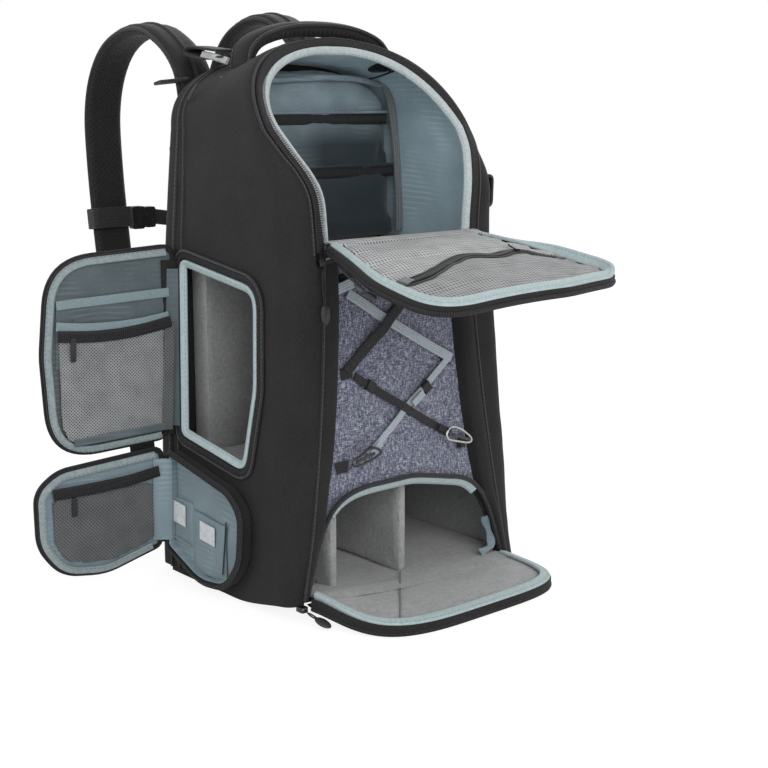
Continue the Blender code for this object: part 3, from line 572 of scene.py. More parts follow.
# %% Sweeping a section along a path
def sweep(bm, path, up, section, closed=False, wide=None):
    """Drags a closed section along a path; up is one direction or one for each point."""
    n, m = len(path), len(section)
    steps = n if closed else n - 1
    lay = bm.loops.layers.uv.get("lay") or bm.loops.layers.uv.new("lay")
    old = set(bm.faces)
    made = bmesh.ops.create_grid(bm, x_segments=steps, y_segments=m, size=0.5)["verts"]
    runs = lengths(path + path[:1] if closed else path)
    ups = [Vector(up)] * n if isinstance(up, (tuple, Vector)) else [Vector(u) for u in up]
    spots = {v: (round((v.co.x + 0.5) * steps), round((v.co.y + 0.5) * m)) for v in made}
    width = [part[2] for part in section] + [section[0][2]]
    for face in bm.faces:
        if face not in old:
            for loop in face.loops:
                i, j = spots[loop.vert]
                loop[lay].uv = (runs[i], width[j])
    for v, (i, j) in spots.items():
        k = i % n
        along = heading(path, k, closed)
        side = along.cross(ups[k]).normalized()
        out = side.cross(along)
        a, b, _ = section[j % m]
        grow = wide(k / max(1, n - 1)) if wide else 1.0
        v.co = path[k] + side * (a * grow) + out * b
    bmesh.ops.remove_doubles(bm, verts=made, dist=1e-7)
    ends = [e for e in bm.edges if e.is_boundary]
    bmesh.ops.holes_fill(bm, edges=ends, sides=0)
    fresh = [f for f in bm.faces if f not in old]
    bmesh.ops.recalc_face_normals(bm, faces=fresh)
    return bm


def strip(name, path, up, section, finish, body="bag", stands_for=(), closed=False, wide=None):
    made = sweep(bmesh.new(), path, up, section, closed, wide)
    return show(name, made, finish, body, stands_for)


print("sweeps ready")

# %% [markdown]
# ### Pads
# Foam under cloth bulges between its seams. Sculpting that by hand is slow; a short cloth run with
# pressure, pinned at the seam and capped in height, gives the same shape every time.


# %% Padding by cloth
def settled(item):
    """The mesh of an object with its modifiers worked in."""
    scene.view_layers[0].update()
    graph = bpy.context.evaluated_depsgraph_get()
    return bpy.data.meshes.new_from_object(item.evaluated_get(graph))


def puffed(mesh, voxel=0.004, pressure=4.0, cap=0.004, hold=None, smooth=4):
    """Remeshes a closed mesh and blows it up as cloth; hold(point) pins what is sewn down."""
    work = bpy.data.objects.new("work", mesh)
    scene.collection.objects.link(work)
    remesh = work.modifiers.new("even", "REMESH")
    remesh.mode = "VOXEL"
    remesh.voxel_size = voxel
    if smooth:
        ease = work.modifiers.new("ease", "SMOOTH")
        ease.iterations = smooth
        ease.factor = 0.5
    plain = settled(work)
    bpy.data.objects.remove(work)
    if pressure <= 0:
        return plain
    work = bpy.data.objects.new("work", plain.copy())
    scene.collection.objects.link(work)
    if hold:
        pins = work.vertex_groups.new(name="sewn")
        for v in plain.vertices:
            share = hold(v.co)
            if share > 0:
                pins.add([v.index], min(1.0, share), "REPLACE")
    cloth = work.modifiers.new("cloth", "CLOTH")
    weave = cloth.settings
    weave.quality = 4
    weave.mass = 0.3
    weave.use_pressure = True
    weave.uniform_pressure_force = pressure
    weave.effector_weights.gravity = 0.0
    weave.tension_stiffness = 12
    weave.compression_stiffness = 12
    weave.bending_stiffness = 0.4
    if hold:
        weave.vertex_group_mass = "sewn"
    cloth.point_cache.frame_start = 1
    cloth.point_cache.frame_end = 20
    for k in range(1, 21):
        scene.frame_set(k)
    blown = settled(work)
    bpy.data.objects.remove(work)
    scene.frame_set(1)
    for old, new in zip(plain.vertices, blown.vertices):
        shift = new.co - old.co
        if shift.length > cap:
            new.co = old.co + shift * (cap / shift.length)
    return blown


print("cloth tool ready")


# %% Copies of nodes and flat maps
def node_mesh(node):
    """A merged copy of a node's mesh, as a start for a soft piece."""
    made = bmesh.new()
    made.from_mesh(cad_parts[node].data)
    bmesh.ops.remove_doubles(made, verts=made.verts[:], dist=2e-5)
    return meshed(made, node)


def lay_on(mesh, origin, u, v):
    """A flat UV map in metres on a plane, for patterns that follow a panel."""
    uv = mesh.uv_layers.get("lay") or mesh.uv_layers.new(name="lay")
    origin, u, v = Vector(origin), Vector(u), Vector(v)
    for loop in mesh.loops:
        spot = mesh.vertices[loop.vertex_index].co - origin
        uv.data[loop.index].uv = (spot.dot(u), spot.dot(v))
    return mesh


print("copies and maps ready")

# %% [markdown]
# ## The body shell
# The bag's body is one arched skin: two leaning sides that run into a round top, open at the
# front and closed by the back panel. A grid bent onto that skin keeps the cloth even, and a slow
# noise lets it sag and ripple the way stuffed cloth does. The frame's measures are repeated here.

# %% Measures of the body
BACK_Y, WALL, FOOT = 0.0845, 0.005, 0.0025
SPRING_Z, CROWN_Z, CROWN_FALL, CROWN_POWER = 0.423, 0.4975, 0.14, 2.4


def front_y(z):
    return -0.105 + 0.058 * z


def front_half(z):
    return 0.143 - 0.052 * z + 0.005 * max(0.0, 1 - ((z - 0.41) / 0.09) ** 2)


def back_half(z):
    return 0.14 - 0.118 * z * z


def corner_radius(z):
    return min(0.012 + 0.03 * z, 0.020)


def seam_half(z):
    return 0.128 - 0.215 * z + 0.27 * z * z


def heather_half(z):
    return 0.068 + 0.0225 * ((0.30 - z) / 0.20) ** 2


def side_half(y, z):
    start = front_y(z) + corner_radius(z)
    share = min(1.0, max(0.0, (y - start) / (BACK_Y - start)))
    return front_half(z) + (back_half(z) - front_half(z)) * share


def smoothstep(a, b, x):
    t = min(1.0, max(0.0, (x - a) / (b - a)))
    return t * t * (3 - 2 * t)


def crown(y):
    return CROWN_Z - CROWN_FALL * y + 0.007 * (1 - smoothstep(0.0, 0.05, y))


def on_left(y, z, out=0.0):
    """A point on the left wall, a little way out of it."""
    return Vector((-side_half(y, z) - out, y, z))


print("body", round(2 * front_half(0.2), 3), "m wide in front,", CROWN_Z, "m high")

# %% [markdown]
# ### The skin, row by row
# The mouth's edge is drawn first, straight at the sides and arched at the top. From each of its
# points a row runs round a soft corner and back along the side, so two shares name any place.

# %% The edge of the top mouth
MOUTH_FOOT, MOUTH_TOP, MOUTH_HALF = 0.306, 0.4965, 0.1115
SPRING_Y = -0.0522
low_edge = smooth_path([(0.0868, -0.0866, MOUTH_FOOT), (0.0885, -0.0858, 0.340), (0.0915, -0.0850, 0.367),
                        (0.0972, -0.0791, 0.385), (0.1062, -0.0667, 0.405),
                        (MOUTH_HALF, SPRING_Y, SPRING_Z)], 0.001)


def edge_at(z):
    """The right half of the mouth's edge below the arch, at a height."""
    k = min(max(1, sum(p.z < z for p in low_edge)), len(low_edge) - 1)
    a, b = low_edge[k - 1], low_edge[k]
    return a.lerp(b, min(1.0, max(0.0, (z - a.z) / (b.z - a.z))))


print("mouth edge", len(low_edge), "points on each side")


# %% Rows of the skin
def row_of(front, outer):
    """From the front edge round a soft corner and along the outer surface to the back."""
    corner = outer(front.y)
    reach = min(0.021, 0.95 * (corner - front).length)
    a, b = corner + (front - corner).normalized() * reach, outer(front.y + reach)
    row = [front] + [(1 - t) ** 2 * a + 2 * t * (1 - t) * corner + t * t * b
                     for t in (j / 8 for j in range(9))]
    row += [outer(b.y + (BACK_Y - b.y) * j / 10) for j in range(1, 11)]
    return even_path(row, 0.001)


SIDE_SHARE, ARCH_POWER = 0.62, 2.2
rows = {}


def skin_row(s):
    """One row of the skin; s runs over the arch from the left foot to the right foot."""
    a = round(1 - abs(2 * s - 1), 6)
    if a not in rows:
        if a <= SIDE_SHARE:
            z = FOOT + (SPRING_Z - FOOT) * a / SIDE_SHARE
            front = edge_at(z) if z > MOUTH_FOOT else Vector((seam_half(z), front_y(z), z))
            rows[a] = row_of(front, lambda y: Vector((side_half(y, z), y, z)))
        else:
            turn = math.radians(90 * (a - SIDE_SHARE) / (1 - SIDE_SHARE))
            c, rise = math.cos(turn), math.sin(turn)
            z = (MOUTH_TOP - SPRING_Z) * rise ** (2 / ARCH_POWER)
            front = Vector((MOUTH_HALF * c ** (2 / ARCH_POWER), SPRING_Y + 0.93 * z - 2.0 * z * z,
                            SPRING_Z + z))
            wide, high = c ** (2 / CROWN_POWER), rise ** (2 / CROWN_POWER)

            def over(y):
                return Vector((side_half(y, SPRING_Z) * wide, y, SPRING_Z + (crown(y) - SPRING_Z) * high))

            rows[a] = row_of(front, over)
    return rows[a]


print("a row of the skin has", len(skin_row(0.2)), "points at mid height")


# %% Any point of the skin
def skin(s, t):
    """A point of the skin; t runs from the front edge to the back."""
    row = skin_row(s)
    spot = min(max(t, 0.0), 1.0) * (len(row) - 1)
    k = min(int(spot), len(row) - 2)
    p = row[k].lerp(row[k + 1], spot - k)
    return Vector((p.x if s > 0.5 else -p.x, p.y, p.z))


def skin_out(s, t, e=0.002):
    """The way out of the skin at a point."""
    lo, hi = max(0.0, s - e), min(1.0, s + e)
    near, far = max(0.0, t - 4 * e), min(1.0, t + 4 * e)
    out = (skin(hi, t) - skin(lo, t)).cross(skin(s, far) - skin(s, near))
    p = skin(s, t)
    return out.normalized() * (1 if out.dot(p - Vector((0, p.y, 0.25))) > 0 else -1)


print("middle of the arch at", [round(c, 3) for c in skin(0.5, 0.0)])

# %% [markdown]
# ### From map to cloth
# A plain grid is laid on that map, rippled and given a wall, so inside and outside stay parallel.
# The side opening is then cut by a boolean, because its round edge crosses the grid's lines.

# %% Bend a grid onto the skin
ACROSS, DEEP = 240, 60
bm = bmesh.new()
bmesh.ops.create_grid(bm, x_segments=ACROSS, y_segments=DEEP, size=0.5)
lay = bm.loops.layers.uv.new("lay")
for face in bm.faces:
    for loop in face.loops:
        loop[lay].uv = (loop.vert.co.x * 1.15, loop.vert.co.y * 0.19)
for v in bm.verts:
    v.co = skin(v.co.x + 0.5, v.co.y + 0.5)
bmesh.ops.recalc_face_normals(bm, faces=bm.faces[:])
middle = min(bm.faces, key=lambda f: (f.calc_center_median() - Vector((0.14, 0.0, 0.2))).length)
if middle.normal.x < 0:
    bmesh.ops.reverse_faces(bm, faces=bm.faces[:])
bm.normal_update()
for v in bm.verts:
    slow = noise.noise(v.co * 17.0) * 0.0011 + noise.noise(v.co * 48.0 + Vector((3, 1, 7))) * 0.0004
    v.co += v.normal * slow
outer = set(bm.verts)
bmesh.ops.solidify(bm, geom=bm.faces[:], thickness=WALL)
for face in bm.faces:
    if not any(v in outer for v in face.verts):
        face.material_index = 1 if face.calc_center_median().z > 0.315 else 2
far = max((v.co for v in bm.verts), key=lambda p: abs(p.x))
print("skin faces", len(bm.faces), "widest", round(abs(far.x), 4))
skin_mesh = meshed(bm, "body_shell")


# %% Cut the camera door out of the left side
def rounded(corners, radii, steps=7):
    """A closed outline with its corners rounded."""
    radii = radii if isinstance(radii, (list, tuple)) else [radii] * len(corners)
    outline = []
    for k, r in enumerate(radii):
        here = Vector(corners[k])
        before, after = Vector(corners[k - 1]) - here, Vector(corners[(k + 1) % len(corners)]) - here
        angle = before.angle(after)
        reach = min(r / math.tan(angle / 2), 0.48 * before.length, 0.48 * after.length)
        a, b = here + before.normalized() * reach, here + after.normalized() * reach
        for j in range(steps + 1):
            t = j / steps
            outline.append((1 - t) ** 2 * a + 2 * t * (1 - t) * here + t * t * b)
    return outline


DOOR_MOUTH = rounded([(-0.036, 0.124), (0.062, 0.141), (0.070, 0.305), (-0.046, 0.288), (-0.050, 0.200)],
                     [0.014, 0.009, 0.008, 0.024, 0.060])
bm = bmesh.new()
corner = [bm.verts.new((-0.2, y, z)) for y, z in DOOR_MOUTH]
lid = bm.faces.new(corner)
pulled = bmesh.ops.extrude_face_region(bm, geom=[lid])["geom"]
bmesh.ops.translate(bm, vec=(0.1, 0, 0), verts=[g for g in pulled if isinstance(g, bmesh.types.BMVert)])
bmesh.ops.recalc_face_normals(bm, faces=bm.faces[:])
knife = bpy.data.objects.new("door_knife", meshed(bm, "door_knife"))
scene.collection.objects.link(knife)
rough = bpy.data.objects.new("rough_shell", skin_mesh)
scene.collection.objects.link(rough)
# Inside, the top room's walls take the lighter lining copy, which is painted light; the low room's walls take
# felt.
for one in (black_cloth, lining_painted_light, grey_felt):
    skin_mesh.materials.append(one)
hole = rough.modifiers.new("door", "BOOLEAN")
hole.operation, hole.solver, hole.object = "DIFFERENCE", "EXACT", knife
cut_mesh = settled(rough)
bpy.data.objects.remove(rough)
bpy.data.objects.remove(knife)
shell = show_mesh("body_shell", cut_mesh, [black_cloth, lining_painted_light, grey_felt], "bag",
                  ("left_side_panel", "right_side_panel", "top_hood"), 50.0)
print("body shell", len(cut_mesh.polygons), "faces")

# %% [markdown]
# ## The rim of the top mouth
# A zip runs round the mouth: its coil sits on the front of the skin, a pale tape binds the
# edge itself, and a thin piped seam shows further out. All three are sweeps along the edge.

# %% Rim tape, zip and seam
LOW_S = SIDE_SHARE / 2 * (0.318 - FOOT) / (SPRING_Z - FOOT)
spots = [LOW_S + (1 - 2 * LOW_S) * k / 240 for k in range(241)]
edge = [skin(s, 0.0) for s in spots]


def on_rim(s, by):
    """A point of the skin this far out from the mouth's edge."""
    return skin(s, by / (0.001 * (len(skin_row(s)) - 1)))


outward, faceward = [], []
for k, s in enumerate(spots):
    out = (on_rim(s, 0.003) - edge[k]).normalized()
    along = heading(edge, k)
    face = along.cross(out).normalized()
    outward.append(out)
    faceward.append(face if face.y < 0 else -face)


def beside_rim(out, off):
    """The rim's line moved out over the skin and off it; a minus moves it into the mouth."""
    moved = []
    for s, p, o, f in zip(spots, edge, outward, faceward):
        moved.append((on_rim(s, out) if out > 0 else p + o * out) + f * off)
    return moved


high = [k for k, p in enumerate(edge) if p.z > 0.326]
bound = beside_rim(-0.0036, -0.0008)
strip("rim_binding", [bound[k] for k in high], [faceward[k] - outward[k] * 0.35 for k in high],
      tape(0.0084, 0.0050), rim_tape,
      wide=lambda t: 0.25 + 0.75 * smoothstep(0.06, 0.26, t))
# On the left of the rim the coil is drawn with light teeth: a painted highlight along the zip.
coil = [k for k, p in enumerate(edge) if p.x < 0 and 0.335 < p.z < 0.468]
teeth = beside_rim(0.0014, 0.0016)
strip("rim_coil", [teeth[k] for k in coil], [faceward[k] for k in coil], tape(0.0034, 0.0026), coil_painted_highlight,
      wide=lambda t: 0.3 + 0.7 * smoothstep(0.0, 0.12, t) * (1 - smoothstep(0.86, 1.0, t)))
strip("rim_zip", beside_rim(0.0044, 0.0006), faceward, tape(0.0086, 0.0032), black_zip)
strip("rim_seam", beside_rim(0.0112, 0.0004), faceward, ring(0.0013), black_binding)
print("rim is", round(sum((b - a).length for a, b in zip(edge, edge[1:])), 3), "m long")

# %% [markdown]
# ## The back edge
# Two rows of piping run over the bag beside the back panel, and a soft roll stands behind them. A
# bevel could round this edge, but a roll of its own also covers where the panel meets the skin.

# %% Piping along the back edge, and a short slot beside it
slot = smooth_path([on_left(0.0555, 0.4625, 0.0006), on_left(0.0625, 0.4560, 0.0006),
                    on_left(0.0685, 0.4484, 0.0006)], 0.003)
strip("gusset_slot", slot, (-1, 0, 0.3), tape(0.0042, 0.0018), black_binding)
places = [0.003 + 0.994 * j / 240 for j in range(241)]
for k, (t, radius) in enumerate(((0.93, 0.0013), (0.995, 0.0017))):
    out = [skin_out(s, t) for s in places]
    line = [skin(s, t) + o * 0.0006 for s, o in zip(places, out)]
    strip(f"back_piping_{k}", line, out, ring(radius), black_binding)
roll = [skin(s, 1.0) - skin_out(s, 1.0) * 0.0074 + Vector((0, 0.0062, 0)) for s in places]
strip("back_roll", roll, [skin_out(s, 1.0) for s in places], tape(0.0240, 0.0156, 0.0072, 6), black_cloth)
print("piping and roll follow", len(places), "places")

# %% [markdown]
# ## Inside the top room
# The far wall is a padded sleeve of the same lining, drawn darker and with a pool of painted shade low on its
# right. Two black zips cross it, a soft fold hangs over the upper one, and its corners are bound with grey
# tape.

# %% Padded far wall
far_wall = puffed(node_mesh("top_pocket_panel"), 0.005, 1.5, 0.004, None, 3)
for v in far_wall.vertices:
    if v.co.y < 0.056:
        ripple = noise.noise(Vector((v.co.x * 22, 0.3, v.co.z * 30))) * 0.0018
        ripple += noise.noise(v.co * 70) * 0.0006
        dent = sum(math.exp(-((v.co.z - z) / 0.006) ** 2) for z in (0.4300, 0.3785)) * 0.0022
        v.co.y += dent - ripple
# The far wall, its zip lips and its fold take the darker lining copy with painted shade.
wall_back = show_mesh("top_far_wall", far_wall, far_wall_lining_painted_shade, "bag", ("top_pocket_panel",))
FACE_Y = 0.0475
print("far wall", len(far_wall.polygons), "faces")

# %% Zips, fold and corner tape on the far wall
for name, z, low, high in (("wall_zip_upper", 0.4300, -0.098, 0.103),
                           ("wall_zip_lower", 0.3785, -0.104, 0.112)):
    path = smooth_path([(low, FACE_Y, z - 0.001), (low * 0.4, FACE_Y - 0.001, z),
                        (high * 0.5, FACE_Y - 0.001, z), (high, FACE_Y, z)])
    strip(name, path, (0, -1, 0), tape(0.0115, 0.0018), black_zip)
    lip = [p + Vector((0, -0.0012, 0.0062)) for p in path]
    strip(name + "_lip", lip, (0, -1, 0), tape(0.0026, 0.0014), far_wall_lining_painted_shade)
fold = smooth_path([(-0.070, FACE_Y, 0.4655), (-0.03, FACE_Y - 0.002, 0.4665),
                    (0.018, FACE_Y - 0.003, 0.4690), (0.060, FACE_Y - 0.002, 0.4680),
                    (0.096, FACE_Y, 0.4625)])
strip("wall_fold", fold, (0, -1, 0), tape(0.0055, 0.0040), far_wall_lining_painted_shade)
for side in (-1, 1):
    corner = smooth_path([(side * 0.1190, FACE_Y - 0.002, 0.318), (side * 0.1180, FACE_Y - 0.002, 0.36),
                          (side * 0.1135, FACE_Y - 0.002, 0.41), (side * 0.1070, FACE_Y - 0.002, 0.445),
                          (side * 0.0960, FACE_Y - 0.002, 0.468)])
    strip("corner_tape_" + ("left" if side < 0 else "right"), corner, (-side, -1, 0), tape(0.0075, 0.0030),
          grey_webbing)
CEILING_S = 0.594
ceiling = []
for k in range(13):
    t = 0.10 + 0.05 * k
    ceiling.append(skin(CEILING_S, t) - skin_out(CEILING_S, t) * (WALL + 0.0006))
strip("ceiling_seam", smooth_path(ceiling), -skin_out(CEILING_S, 0.4), tape(0.0022, 0.0012), black_binding)
print("far wall trimmed")

# %% [markdown]
# ## The top flap
# The flap is a padded lid that hangs open on its lower edge. Its outer side is black cloth, a
# gusset with the zip runs round its edge, and the side we look into carries a net pocket with a
# curved zip, framed by a pale binding. The pad is puffed as cloth with its edge sewn down.


# %% A panel's own plane
def plane(origin, u, v):
    """A place and two ways along a panel; the third way is out of it."""
    u, v = Vector(u).normalized(), Vector(v).normalized()
    return Vector(origin), u, v, u.cross(v)


def at(spot, u, v, w=0.0):
    return spot[0] + spot[1] * u + spot[2] * v + spot[3] * w


def local(spot, p):
    p = p - spot[0]
    return p.dot(spot[1]), p.dot(spot[2]), p.dot(spot[3])


def slab(spot, outline, low, high):
    """A closed plate with this outline, as the start of a pad."""
    made = bmesh.new()
    lid = made.faces.new([made.verts.new(at(spot, u, v, low)) for u, v in outline])
    pulled = bmesh.ops.extrude_face_region(made, geom=[lid])["geom"]
    bmesh.ops.translate(made, vec=spot[3] * (high - low),
                        verts=[g for g in pulled if isinstance(g, bmesh.types.BMVert)])
    bmesh.ops.recalc_face_normals(made, faces=made.faces[:])
    return meshed(made, "slab")


print("panels ready")


# %% Outlines and sewn edges
def inside_by(outline, u, v):
    """How far a point lies from the outline's line, in its plane."""
    best = 1.0
    for k, (a, b) in enumerate(outline):
        c, d = outline[(k + 1) % len(outline)]
        span = (c - a) ** 2 + (d - b) ** 2 or 1e-12
        t = min(1.0, max(0.0, ((u - a) * (c - a) + (v - b) * (d - b)) / span))
        best = min(best, math.hypot(u - a - t * (c - a), v - b - t * (d - b)))
    return best


def inset(outline, by):
    """The outline drawn in by a distance, corner by corner."""
    moved = []
    count = len(outline)
    turn = sum(a * d - b * c for (a, b), (c, d) in zip(outline, outline[1:] + outline[:1]))
    sign = 1 if turn > 0 else -1
    for k in range(count):
        before, here, after = Vector(outline[k - 1]), Vector(outline[k]), Vector(outline[(k + 1) % count])
        way = (after - before).normalized()
        moved.append((here.x - sign * way.y * by, here.y + sign * way.x * by))
    return moved


def sewn_edge(spot, outline, by):
    """Pins for a pad: its cloth is sewn down this near to the outline."""
    def hold(p):
        u, v, w = local(spot, p)
        return 1.0 if inside_by(outline, u, v) < by else 0.0

    return hold


LEAF_SEAM, NET_SEAM = 0.006, 0.0035
print("pads are sewn down", LEAF_SEAM, "m from the edge")

# %% The flap's outline
FLAP = plane((0, -0.0905, 0.3215), (-1, 0, 0), (0, -0.98902, -0.14781))
bends["top_flap"] = at(FLAP, 0, -0.156), at(FLAP, 0, 0.14)
FLAP_CORNERS = [(0.0905, 0.0045), (0.1190, 0.095), (0.1265, 0.1850), (-0.020, 0.1850), (-0.1150, 0.1670),
                (-0.1100, 0.080), (-0.0905, 0.0045)]
FLAP_RADII = [0.001, 0.14, 0.038, 0.12, 0.046, 0.14, 0.001]
flap_line = [Vector((u, v, 0)) for u, v in rounded(FLAP_CORNERS, FLAP_RADII, 12)]
flap_outline = [(p.x, p.y) for p in even_path(flap_line, 0.004)]
print("flap outline", len(flap_outline), "points, half width", round(max(u for u, v in flap_outline), 4))


def droop(item):
    """Lets the lid's corners hang a little, the left one more."""
    for vert in item.data.vertices:
        u, v, w = local(FLAP, vert.co)
        fall = (0.0065 if u > 0 else 0.0030) * (u / 0.12) ** 2 * smoothstep(0.0, 0.13, v)
        vert.co -= FLAP[3] * fall
    return item

# %% Padded lid
lid_start = slab(FLAP, inset(flap_outline, 0.0015), -0.0020, 0.0045)
lid_mesh = puffed(lid_start, 0.0036, 4.0, 0.0045, sewn_edge(FLAP, flap_outline, LEAF_SEAM))
lid = droop(show_mesh("top_lid", lid_mesh, black_cloth, "top_flap", ("top_flap",)))
print("lid", len(lid_mesh.polygons), "faces")

# %% [markdown]
# ### Round the lid
# A lid's edge is a narrow gusset, one half of the zip and a folded binding. All three follow the
# same outline at other distances, so one helper places them.

# %% Gusset, zip and binding round the lid
open_edge = even_path(flap_line, 0.003)
rim_ways = []
for k, p in enumerate(open_edge):
    way = heading(open_edge, k)
    rim_ways.append(Vector((way.y, -way.x, 0)))
if rim_ways[0].x < 0:
    rim_ways = [-w for w in rim_ways]


def round_lid(out, w):
    return [at(FLAP, p.x + o.x * out, p.y + o.y * out, w) for p, o in zip(open_edge, rim_ways)]


rim_out = [FLAP[1] * o.x + FLAP[2] * o.y for o in rim_ways]
droop(strip("lid_gusset", round_lid(-0.0010, 0.0036), rim_out, tape(0.0060, 0.0038), black_cloth,
            "top_flap"))
droop(strip("lid_zip", round_lid(0.0002, -0.0004), [o * 0.85 - FLAP[3] * 0.35 for o in rim_out],
            tape(0.0050, 0.0034), black_zip, "top_flap"))


def lid_taper(t):
    """The binding narrows towards both ends of the hinge."""
    return (0.62 + 0.38 * smoothstep(0.08, 0.36, t)) * (0.35 + 0.65 * smoothstep(1.0, 0.80, t))


stand = [smoothstep(0.2, 0.8, -o.x) * smoothstep(0.02, 0.10, p.y) for p, o in zip(open_edge, rim_ways)]
tape_line = [p + FLAP[3] * 0.0022 * s for p, s in zip(round_lid(-0.0050, 0.0073), stand)]
tape_ways = [FLAP[3] * (1 - 0.45 * s) + o * (0.32 - 1.1 * s) for o, s in zip(rim_out, stand)]
droop(strip("lid_binding", tape_line, tape_ways, tape(0.0110, 0.0034, 0.0014), aqua_binding, "top_flap",
            wide=lid_taper))
print("lid edge", len(open_edge), "points")

# %% [markdown]
# ### The lid's pocket
# The net is a shallow pad of its own, sewn down round its edge and pulled in along a wavy zip. A
# bump could fake the wave, but the zip has to lie on real cloth, which a ray cast finds.

# %% Net pocket with its curved zip
net_outline = inset(flap_outline, 0.0085)
net_start = slab(FLAP, net_outline, 0.0045, 0.0085)
net_mesh = puffed(net_start, 0.004, 3.0, 0.0040, sewn_edge(FLAP, net_outline, 0.004))
ZIP_LINE = [(0.1035, 0.1185), (0.0985, 0.1200), (0.0789, 0.1170), (0.0506, 0.1045), (0.0111, 0.0869),
            (-0.0081, 0.0878),
            (-0.0265, 0.0905), (-0.0525, 0.0841), (-0.0715, 0.0830), (-0.0765, 0.0930), (-0.0900, 0.1060)]
zip_flat = smooth_path([(u, v, 0) for u, v in ZIP_LINE], 0.004)
for vert in net_mesh.vertices:
    u, v, w = local(FLAP, vert.co)
    if w > 0.006:
        pull = min((Vector((u, v, 0)) - q).length for q in zip_flat)
        lift = noise.noise(Vector((u * 26, v * 26, 0.5))) * 0.0016
        lift += noise.noise(Vector((u * 60, v * 60, 2))) * 0.0005
        vert.co += FLAP[3] * (lift - 0.0014 * math.exp(-(pull / 0.010) ** 2))
lay_on(net_mesh, FLAP[0], FLAP[1], FLAP[2] * 0.36)
for face in net_mesh.polygons:
    u, v, w = local(FLAP, face.center)
    near = min(zip_flat, key=lambda q: abs(q.x - u))
    face.material_index = 1 if v > near.y else 0
net = droop(show_mesh("lid_net_pocket", net_mesh, [grey_net, deep_net], "top_flap", ("top_flap_pocket",)))
tree_top = BVHTree.FromPolygons([v.co for v in net_mesh.vertices], [p.vertices for p in net_mesh.polygons])


def on_net(u, v, lift=0.0008):
    hit = tree_top.ray_cast(at(FLAP, u, v, 0.03), -FLAP[3])
    return (hit[0] if hit[0] else at(FLAP, u, v, 0.0085)) + FLAP[3] * lift


strip("lid_pocket_zip", [on_net(p.x, p.y) for p in zip_flat], FLAP[3], tape(0.0068, 0.0026), black_zip,
      "top_flap")
for side in (1, -1):
    beside = []
    for k, p in enumerate(zip_flat):
        way = heading(zip_flat, k)
        beside.append(on_net(p.x - way.y * 0.0055 * side, p.y + way.x * 0.0055 * side, 0.0006))
    strip("lid_pocket_lip_" + ("low" if side > 0 else "high"), beside, FLAP[3], tape(0.0022, 0.0016),
          black_binding, "top_flap")
for k, (u, v) in enumerate((ZIP_LINE[0], ZIP_LINE[-1])):
    way = -1 if k else 1
    tab = [on_net(u + way * 0.004, v, 0.0012), on_net(u - way * 0.006, v - 0.002 * way, 0.0012)]
    strip(f"lid_zip_tab_{k}", even_path(tab, 0.002), FLAP[3], tape(0.0105, 0.0022), grey_webbing,
          "top_flap")
print("lid net", len(net_mesh.polygons), "faces")

# %% [markdown]
# ## Cloth across the hinges
# Nothing on this bag turns on a metal hinge: the cloth itself bends. A hinge strip is a sheet
# between a line on the body and a line on the flap, and it is blended from one to the other.


# %% Hinge strips
def cut_size(made, across, along):
    """Width, length and area of the flat piece that a bent grid was cut from."""
    spots = [v.co.copy() for v in made.verts]
    rows = [spots[j * (across + 1):(j + 1) * (across + 1)] for j in range(along + 1)]
    width = max(sum((b - a).length for a, b in zip(row, row[1:])) for row in rows)
    length = max(sum((b[i] - a[i]).length for a, b in zip(rows, rows[1:])) for i in range(across + 1))
    area = sum(f.calc_area() for f in made.faces)
    print("  sheet", round(width, 4), "by", round(length, 4), "area", round(area, 5))
    return width, length, min(area, width * length)


def hinge_cloth(name, bag_line, flap_line, middle_line, finish, thick=0.0012):
    """A sheet from a line on the bag over a middle line to a line on a flap, baked in place."""
    made = bmesh.new()
    bmesh.ops.create_grid(made, x_segments=40, y_segments=10, size=0.5)
    lay = made.loops.layers.uv.new("lay")
    for v in made.verts:
        s, t = (v.co.x + 0.5) * 40, v.co.y + 0.5
        a, m, b = (line[0].lerp(line[1], s / 40) for line in (bag_line, middle_line, flap_line))
        v.co = (1 - t) ** 2 * a + 2 * t * (1 - t) * (2 * m - (a + b) / 2) + t * t * b
    along = (bag_line[1] - bag_line[0]).normalized()
    across = (flap_line[0] - bag_line[0]).normalized()
    for face in made.faces:
        for loop in face.loops:
            loop[lay].uv = ((loop.vert.co - bag_line[0]).dot(along),
                            (loop.vert.co - bag_line[0]).dot(across))
    width, length, area = cut_size(made, 40, 10)
    bmesh.ops.solidify(made, geom=made.faces[:], thickness=thick)
    bmesh.ops.recalc_face_normals(made, faces=made.faces[:])
    item = show(name, made, finish, None)
    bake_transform(item)
    return item


def across(y, z, half):
    return [Vector((-half, y, z)), Vector((half, y, z))]


top_net = hinge_cloth("top_hinge_net", across(-0.0745, 0.3145, 0.0885),
                      [at(FLAP, 0.0885, 0.014, 0.0085), at(FLAP, -0.0885, 0.014, 0.0085)],
                      across(-0.0850, 0.3290, 0.0885), grey_net, 0.0012)
lay_on(top_net.data, FLAP[0], FLAP[1], FLAP[2] * 0.36)
hinge_cloth("top_hinge_back", across(-0.0875, 0.3060, 0.0880),
            [at(FLAP, 0.0900, 0.012, -0.0045), at(FLAP, -0.0900, 0.012, -0.0045)],
            across(-0.0915, 0.3135, 0.0885), black_cloth, 0.0012)
print("hinge of the top flap made")

# %% [markdown]
# ## The laced front
# A heather panel is set back between two padded black bands that widen towards the floor and
# arch over the lower mouth. The bands are puffed strips that roll inwards at the heather, so
# each is drawn as a grid: across it runs the roll, along it the lean of the front.


# %% The lower mouth
def mouth_half(z):
    """Half width of the lower mouth at a height."""
    share = min(1.0, max(0.0, z / 0.096))
    return (0.122 - 0.028 * share) * (1 - share ** 5) ** 0.2


